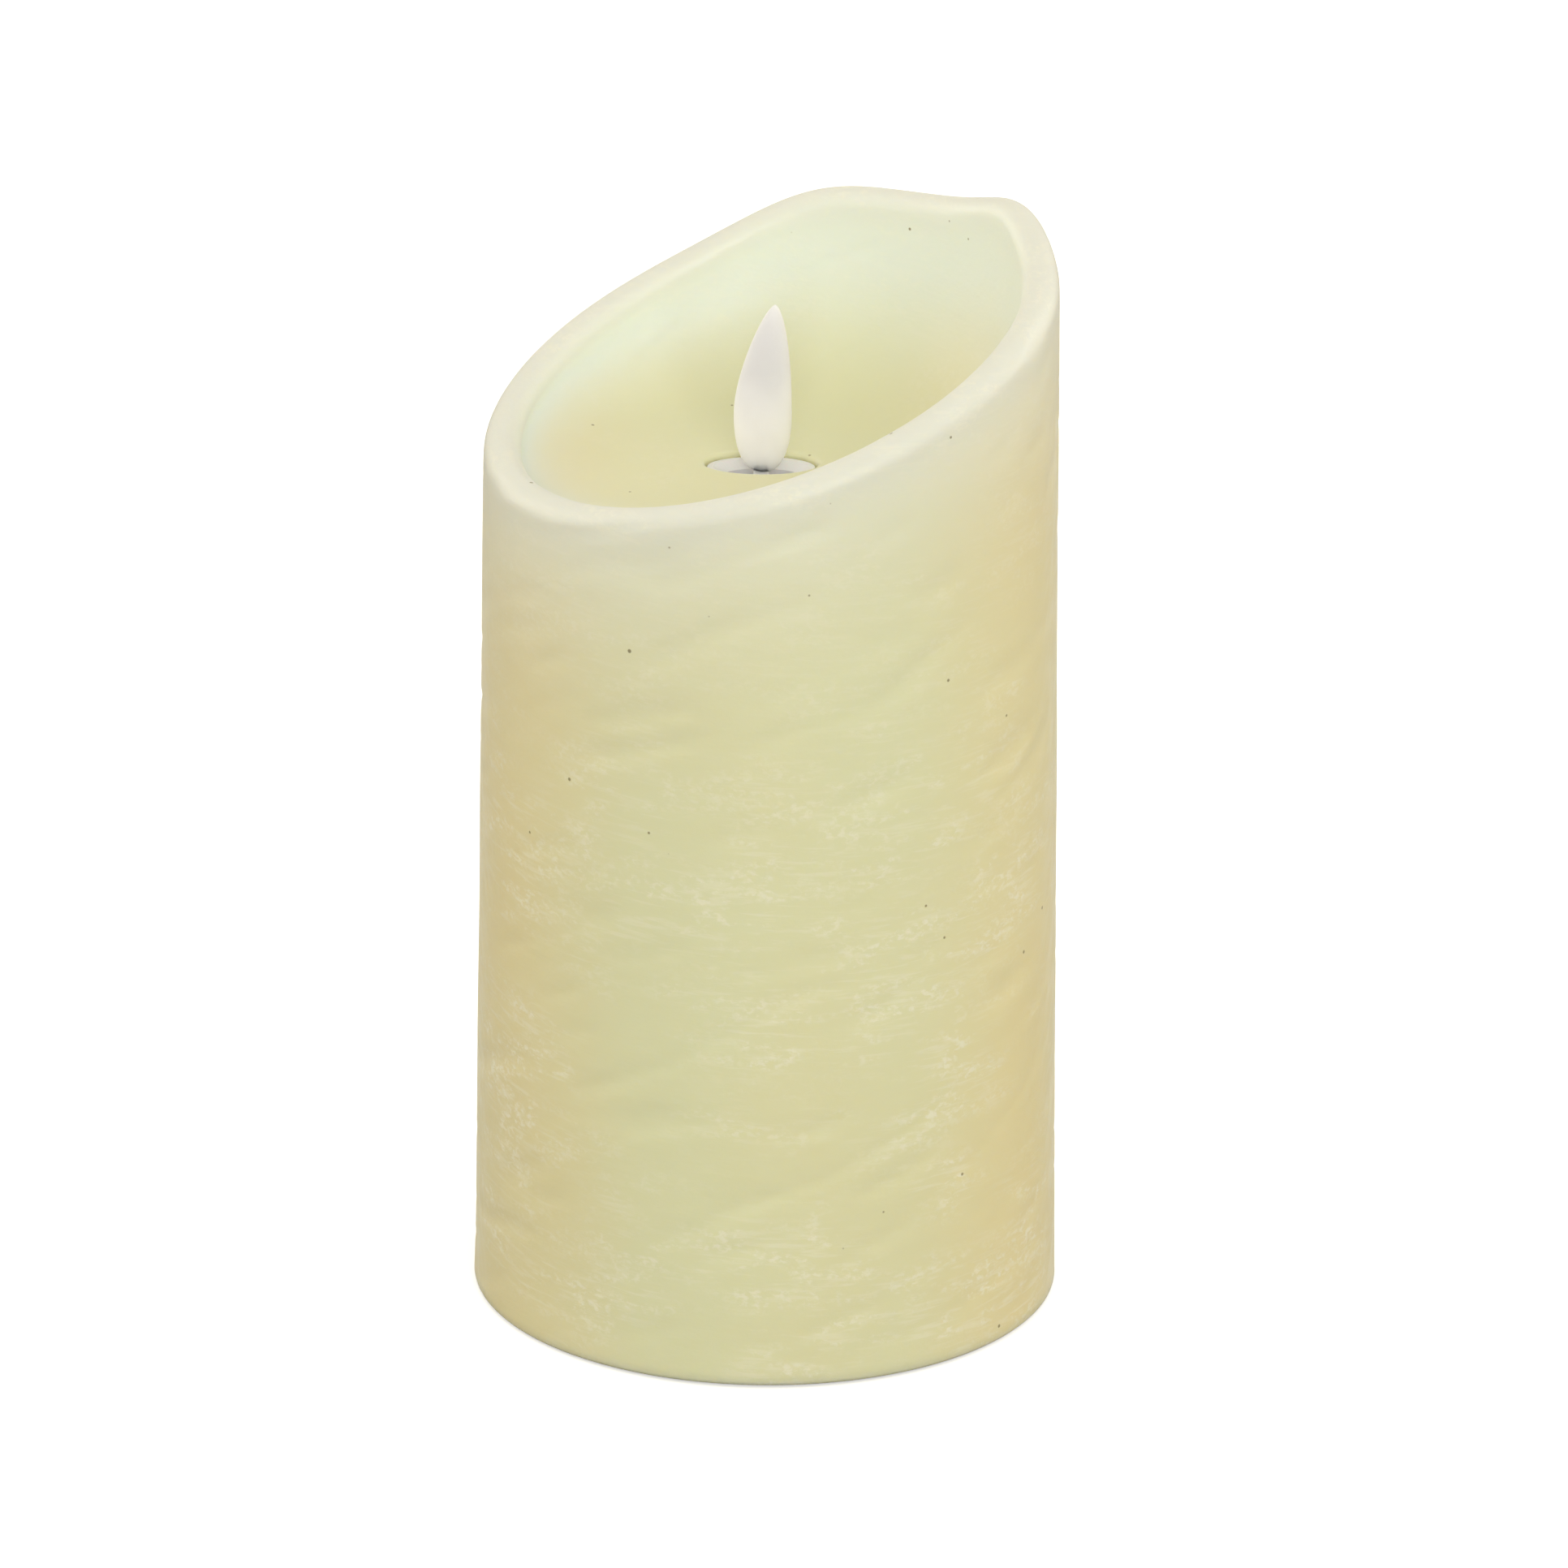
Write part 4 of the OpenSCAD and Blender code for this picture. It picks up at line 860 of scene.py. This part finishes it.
def mould_flame():
    """The whole flame moulding: petal, stem with its eye, and cup."""
    shape = bmesh.new()
    press_petal(shape)
    add_stem(shape)
    add_cup(shape)
    bmesh.ops.remove_doubles(shape, verts=shape.verts, dist=SAME_POINT)
    bmesh.ops.recalc_face_normals(shape, faces=shape.faces)
    bmesh.ops.scale(shape, vec=(MM, MM, MM), verts=shape.verts)
    return shape


print("magnet pocket from", round(magnet_low, 2), "to", round(magnet_high + MAGNET_GAP, 2), "mm")

# %% [markdown]
# ## Milky flame plastic
#
# The petal is polypropylene with a little white pigment, so that the lamp below can make it glow. Unlit it
# is a matt, neutral white, and light goes a few millimetres into it, which softens its shading. It is painted
# lighter at the foot, painted light against the shade of the dish, and greyer towards the tip, painted shade
# against the strong light from above, with faint clouds of tone over both. The mould was spark-eroded to a
# very fine grain, which takes away any sharp highlight.

# %% Flame material
PETAL_FOOT_PAINTED_LIGHT = "F1F0F4"
PETAL_TIP_PAINTED_SHADE = "D3D2D7"
PETAL_PAINTED_LIGHT_TO = 0.11
PETAL_PAINTED_SHADE_FROM = 0.68
PETAL_CLOUDS = 0.15
PETAL_GLOW_DEPTH = 3.5


def milky_polypropylene():
    material, tree, shader = new_material("milky_polypropylene", {
        "Roughness": 0.55, "IOR": 1.49, "Subsurface Weight": 1.0, "Subsurface Radius": (1.0, 0.95, 0.9),
        "Subsurface Scale": PETAL_GLOW_DEPTH * MM})
    high = add_node(tree, "ShaderNodeSeparateXYZ", {
        0: add_node(tree, "ShaderNodeTexCoord", {}, "Object")}, "Z")
    # Lighter at the foot and greyer towards the tip: painted light against the dish's shade, painted shade against
    # the light above.
    painted_light_to_shade = add_node(tree, "ShaderNodeMapRange", {
        "Value": high, "From Min": (FLAME_Z + FLAME_H * PETAL_PAINTED_LIGHT_TO) * MM,
        "From Max": (FLAME_Z + FLAME_H * PETAL_PAINTED_SHADE_FROM) * MM})
    clouds = marks(tree, along=7, up=10, low=0.35, high=0.65)
    clouds_and_painted_shade = add_node(tree, "ShaderNodeMath", {
        "operation": "MULTIPLY_ADD", 0: clouds, 1: PETAL_CLOUDS, 2: painted_light_to_shade})
    grain = marks(tree, along=0.25, up=0.25, low=0, high=1, roughness=0.6)
    connect(tree, shader, {
        "Base Color": add_node(tree, "ShaderNodeMix", {
            "data_type": "RGBA", 0: clouds_and_painted_shade, 6: hex_colour(PETAL_FOOT_PAINTED_LIGHT), 7: hex_colour(PETAL_TIP_PAINTED_SHADE)}, 2),
        "Normal": add_node(tree, "ShaderNodeBump", {
            "Height": grain, "Distance": 0.02 * MM, "Strength": 0.5})})
    return material


finished_piece("flame_moulding", mould_flame(), milky_polypropylene(), "flame", "flame_white", "flame")

# %% [markdown]
# ## Moulded plastics
#
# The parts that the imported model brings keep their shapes, and each gets the finish of its real material.
# Three families cover most of them, and what differs within a family is a few numbers.
#
# Moulded plastic takes its surface from the steel of its mould: a fine, even grain, a fraction of a
# millimetre across, in which the gloss wanders a little. The colour drifts slightly where the melt flowed.

# %% Moulded plastics
MOULDED_GLOSS_DRIFT = 0.06


def moulded(name, colour, other_colour, roughness, grain, depth, settings=None):
    """Moulded plastic whose grain has that size and depth in millimetres."""
    material, tree, shader = new_material(name, {"IOR": 1.5} | (settings or {}))
    pits = marks(tree, along=grain, up=grain, low=0.2, high=0.8, roughness=0.65)
    flow = marks(tree, along=18, up=18, low=0.3, high=0.7)
    connect(tree, shader, {
        "Base Color": add_node(tree, "ShaderNodeMix", {
            "data_type": "RGBA", 0: flow, 6: hex_colour(colour), 7: hex_colour(other_colour)}, 2),
        "Roughness": add_node(tree, "ShaderNodeMapRange", {
            "Value": pits, "To Min": roughness - MOULDED_GLOSS_DRIFT,
            "To Max": roughness + MOULDED_GLOSS_DRIFT}),
        "Normal": add_node(tree, "ShaderNodeBump", {
            "Height": pits, "Distance": depth * MM, "Strength": 0.6})})
    return material


MOULDED = {
    # White ABS of the core and the flame module: a clean neutral white, satin from a fine mould grain.
    "core_white": moulded("white_abs", "EBEAEA", "E6E5E6", roughness=0.42, grain=0.3, depth=0.02,
                          settings={"Subsurface Weight": 0.15, "Subsurface Scale": 0.8 * MM}),
    # Ivory ABS of the base and the door: tinted to match the wax, a coarser grain that hides scuffs.
    "base_ivory": moulded("ivory_abs", "E6E0C8", "E0D9BE", roughness=0.5, grain=0.45, depth=0.05,
                          settings={"Subsurface Weight": 0.1, "Subsurface Scale": 0.8 * MM}),
    # Natural nylon of the bobbin: milky, waxy and a little yellow.
    "bobbin_plastic": moulded("natural_nylon", "E8E2D0", "E2DAC4", roughness=0.38, grain=0.4, depth=0.02,
                              settings={"Subsurface Weight": 0.4, "Subsurface Scale": 1.0 * MM}),
    # Black ABS of the switch's knob: dense black, matt where fingers meet it.
    "switch_black": moulded("black_abs", "1C1C1E", "242426", roughness=0.5, grain=0.35, depth=0.04),
    # Phenolic board of the switch: brown paper in resin, with a dull gloss and a visible fibre.
    "switch_brown": moulded("phenolic_board", "8A5A2B", "74481F", roughness=0.4, grain=0.6, depth=0.02),
    # Black epoxy of the chips: dark grey and matt, from filler sand in the resin.
    "chip_black": moulded("black_epoxy", "242527", "2C2D2F", roughness=0.55, grain=0.15, depth=0.02),
}
print("moulded:", ", ".join(MOULDED))

# %% [markdown]
# ## Plated metals
#
# Plated metal is a mirror made dull by the grain of the plating and by handling. Its roughness rises in soft
# patches a few millimetres wide, and fine scratches run round it. The colour is that of the plating: bluish
# for zinc, warmer for nickel, yellow where tin is thin over brass.

# %% Plated metals
PLATED_DULLING = 0.16


def plated(name, colour, dull_colour, roughness, patch):
    """Plated metal that is duller in patches of that size in millimetres."""
    material, tree, shader = new_material(name, {"Metallic": 1.0})
    dull = marks(tree, along=patch, up=patch, low=0.35, high=0.7, detail=4, roughness=0.6)
    scratches = marks(tree, along=2.5, up=0.12, low=0, high=1, roughness=0.6)
    connect(tree, shader, {
        "Base Color": add_node(tree, "ShaderNodeMix", {
            "data_type": "RGBA", 0: dull, 6: hex_colour(colour), 7: hex_colour(dull_colour)}, 2),
        "Roughness": add_node(tree, "ShaderNodeMapRange", {
            "Value": dull, "To Min": roughness, "To Max": roughness + PLATED_DULLING}),
        "Normal": add_node(tree, "ShaderNodeBump", {
            "Height": scratches, "Distance": 0.01 * MM, "Strength": 0.35})})
    return material


PLATED = {
    # Zinc-plated steel of the screws and the switch's frame: bluish silver, dull in patches.
    "steel": plated("zinc_plated_steel", "C9CCD0", "A9ACB0", roughness=0.3, patch=1.5),
    # Nickel-plated spring steel of the contacts: warmer and brighter than zinc.
    "nickel": plated("nickel_plated_spring_steel", "D8D3C8", "BDB7AA", roughness=0.2, patch=2.5),
    # Nickel plating of the magnet: a bright mirror over a faint orange peel.
    "magnet": plated("nickel_plated_magnet", "D5D5D6", "C2C2C4", roughness=0.14, patch=1.2),
    # Tinned brass of the switch's pins: yellow where the tin is thin.
    "gold_pins": plated("tinned_brass", "D8C487", "BFA860", roughness=0.28, patch=0.8),
}
print("plated:", ", ".join(PLATED))

# %% [markdown]
# ## Vinyls
#
# The insulation of a wire is extruded, and the jacket of a cell or a capacitor is shrunk on. Both are smooth
# and rather glossy vinyl, slightly wavy along their length, with faint scuffs where they were handled. A
# thin clear coat gives the double shine of a film over a colour.

# %% Vinyls
SCUFF_STRENGTH = 0.4
SCUFF_DULLING = 0.4


def vinyl(name, colour, scuffed_colour, roughness):
    """Smooth vinyl with a gloss that wanders a little and faint scuffs."""
    material, tree, shader = new_material(name, {"IOR": 1.53, "Coat Weight": 0.25, "Coat Roughness": 0.15})
    handled = marks(tree, along=3, up=1.2, low=0.55, high=0.75, detail=4, roughness=0.65, bend=0.4)
    scuffs = add_node(tree, "ShaderNodeMath", {"operation": "MULTIPLY", 0: handled, 1: SCUFF_STRENGTH})
    ripples = marks(tree, along=2.2, up=2.2, low=0, high=1, detail=1)
    connect(tree, shader, {
        "Base Color": add_node(tree, "ShaderNodeMix", {
            "data_type": "RGBA", 0: scuffs, 6: hex_colour(colour), 7: hex_colour(scuffed_colour)}, 2),
        "Roughness": add_node(tree, "ShaderNodeMapRange", {
            "Value": scuffs, "To Min": roughness, "To Max": roughness + SCUFF_DULLING}),
        "Normal": add_node(tree, "ShaderNodeBump", {
            "Height": ripples, "Distance": 0.05 * MM, "Strength": 0.4})})
    return material


VINYLS = {
    # Shrink film of the cells, with nothing printed on it: deep blue-green, glossy, slightly scuffed.
    "cell_jacket": vinyl("cell_shrink_film", "1F4E5F", "5A7F8B", roughness=0.25),
    # Sleeve of the capacitor: dark blue film, glossy.
    "capacitor_sleeve": vinyl("capacitor_shrink_sleeve", "1E2C52", "46537A", roughness=0.25),
    # Insulation of the wires: soft vinyl, semi-gloss, red and black to the cells and white elsewhere.
    "wire_red": vinyl("red_vinyl_insulation", "B3241C", "CC5A50", roughness=0.35),
    "wire_black": vinyl("black_vinyl_insulation", "1B1B1C", "3A3A3C", roughness=0.35),
    "wire_white": vinyl("white_vinyl_insulation", "E6E4DE", "D2CFC6", roughness=0.35),
}
print("vinyls:", ", ".join(VINYLS))

# %% [markdown]
# ## The copper winding
#
# The coil is wound from enamelled copper wire 0.2 mm thick, layer on layer. Real turns would be thousands of
# faces that nobody sees, so rings along Z give the threaded look of a reel. They are drawn 0.35 mm apart,
# wider than the wire, so that they can be seen, and the copper is painted darker in the narrow grooves
# between them: painted shade. The clear enamel is a coat over the metal.

# %% Copper winding
WINDING_PITCH = 0.35


def enamelled_copper():
    material, tree, shader = new_material("enamelled_copper_winding", {
        "Metallic": 1.0, "Roughness": 0.28, "Coat Weight": 0.5, "Coat Roughness": 0.1})
    high = add_node(tree, "ShaderNodeSeparateXYZ", {
        0: add_node(tree, "ShaderNodeTexCoord", {}, "Object")}, "Z")
    turn = add_node(tree, "ShaderNodeMath", {"operation": "PINGPONG", 0: high, 1: WINDING_PITCH / 2 * MM})
    crown = add_node(tree, "ShaderNodeMapRange", {
        "interpolation_type": "SMOOTHSTEP", "Value": turn, "From Max": WINDING_PITCH / 4 * MM})
    # The darker copper in the grooves between the turns is painted shade.
    connect(tree, shader, {
        "Base Color": add_node(tree, "ShaderNodeMix", {
            "data_type": "RGBA", 0: crown, 6: hex_colour("7A3D18"), 7: hex_colour("C47434")}, 2),
        "Normal": add_node(tree, "ShaderNodeBump", {
            "Height": crown, "Distance": 0.1 * MM, "Strength": 0.8})})
    return material


# %% [markdown]
# ## The circuit board
#
# The board is glass-fibre laminate under green solder mask. The mask is glossy and lets the copper tracks
# show through as slightly lighter, slightly raised bands between finer, darker gaps. A Brick pattern, with
# long low bricks, lays such tracks without drawing any real circuit.

# %% Circuit board
TRACK_PITCH = 1.6


def solder_mask():
    material, tree, shader = new_material("green_solder_mask", {
        "Roughness": 0.3, "IOR": 1.55, "Coat Weight": 0.6, "Coat Roughness": 0.08})
    runs = add_node(tree, "ShaderNodeTexBrick", {
        "offset": 0.5, "squash": 1.0, "Vector": add_node(tree, "ShaderNodeTexCoord", {}, "Object"),
        "Color1": (1, 1, 1, 1), "Color2": (0.7, 0.7, 0.7, 1), "Mortar": (0, 0, 0, 1),
        "Scale": 1 / (TRACK_PITCH * MM), "Mortar Size": 0.09, "Mortar Smooth": 0.3, "Brick Width": 6.0,
        "Row Height": 1.0})
    tracks = add_node(tree, "ShaderNodeSeparateColor", {0: runs})
    connect(tree, shader, {
        "Base Color": add_node(tree, "ShaderNodeMix", {
            "data_type": "RGBA", 0: tracks, 6: hex_colour("134A27"), 7: hex_colour("2A7C48")}, 2),
        "Normal": add_node(tree, "ShaderNodeBump", {
            "Height": tracks, "Distance": 0.04 * MM, "Strength": 0.6})})
    return material


# %% [markdown]
# ## The lamp
#
# The lamp is cast in clear epoxy, which bends light like glass. Seen through it is the phosphor on the chip,
# which gives the whole lens a faint yellow. Casting leaves the surface smooth but not quite flat.

# %% Lamp


def clear_epoxy():
    material, tree, shader = new_material("clear_lamp_epoxy", {
        "Roughness": 0.06, "IOR": 1.53, "Transmission Weight": 0.75})
    tint = marks(tree, along=2, up=2, low=0.3, high=0.7)
    ripples = marks(tree, along=1.5, up=1.5, low=0, high=1, detail=1)
    connect(tree, shader, {
        "Base Color": add_node(tree, "ShaderNodeMix", {
            "data_type": "RGBA", 0: tint, 6: hex_colour("F6EFC8"), 7: hex_colour("F2E7B4")}, 2),
        "Normal": add_node(tree, "ShaderNodeBump", {
            "Height": ripples, "Distance": 0.02 * MM, "Strength": 0.3})})
    return material


SPECIAL = {"copper_wire": enamelled_copper(), "board": solder_mask(), "led_lens": clear_epoxy()}
print("special finishes:", ", ".join(SPECIAL))

# %% [markdown]
# ## Give every part its finish
#
# The record that came with the model says which slot each part takes its finish from. The finishes could be
# given part by part, but the slots already group them, so one loop dresses them all.

# %% Finishes by slot
finishes = MOULDED | PLATED | VINYLS | SPECIAL
dressed = 0
for part in frame["record"]["subparts"]:
    if part["material_slot"] in finishes:
        dressed += 1
        for material_slot in frame["nodes"][part["node"]].material_slots:
            material_slot.material = finishes[part["material_slot"]]
print(len(finishes), "finishes on", dressed, "parts")
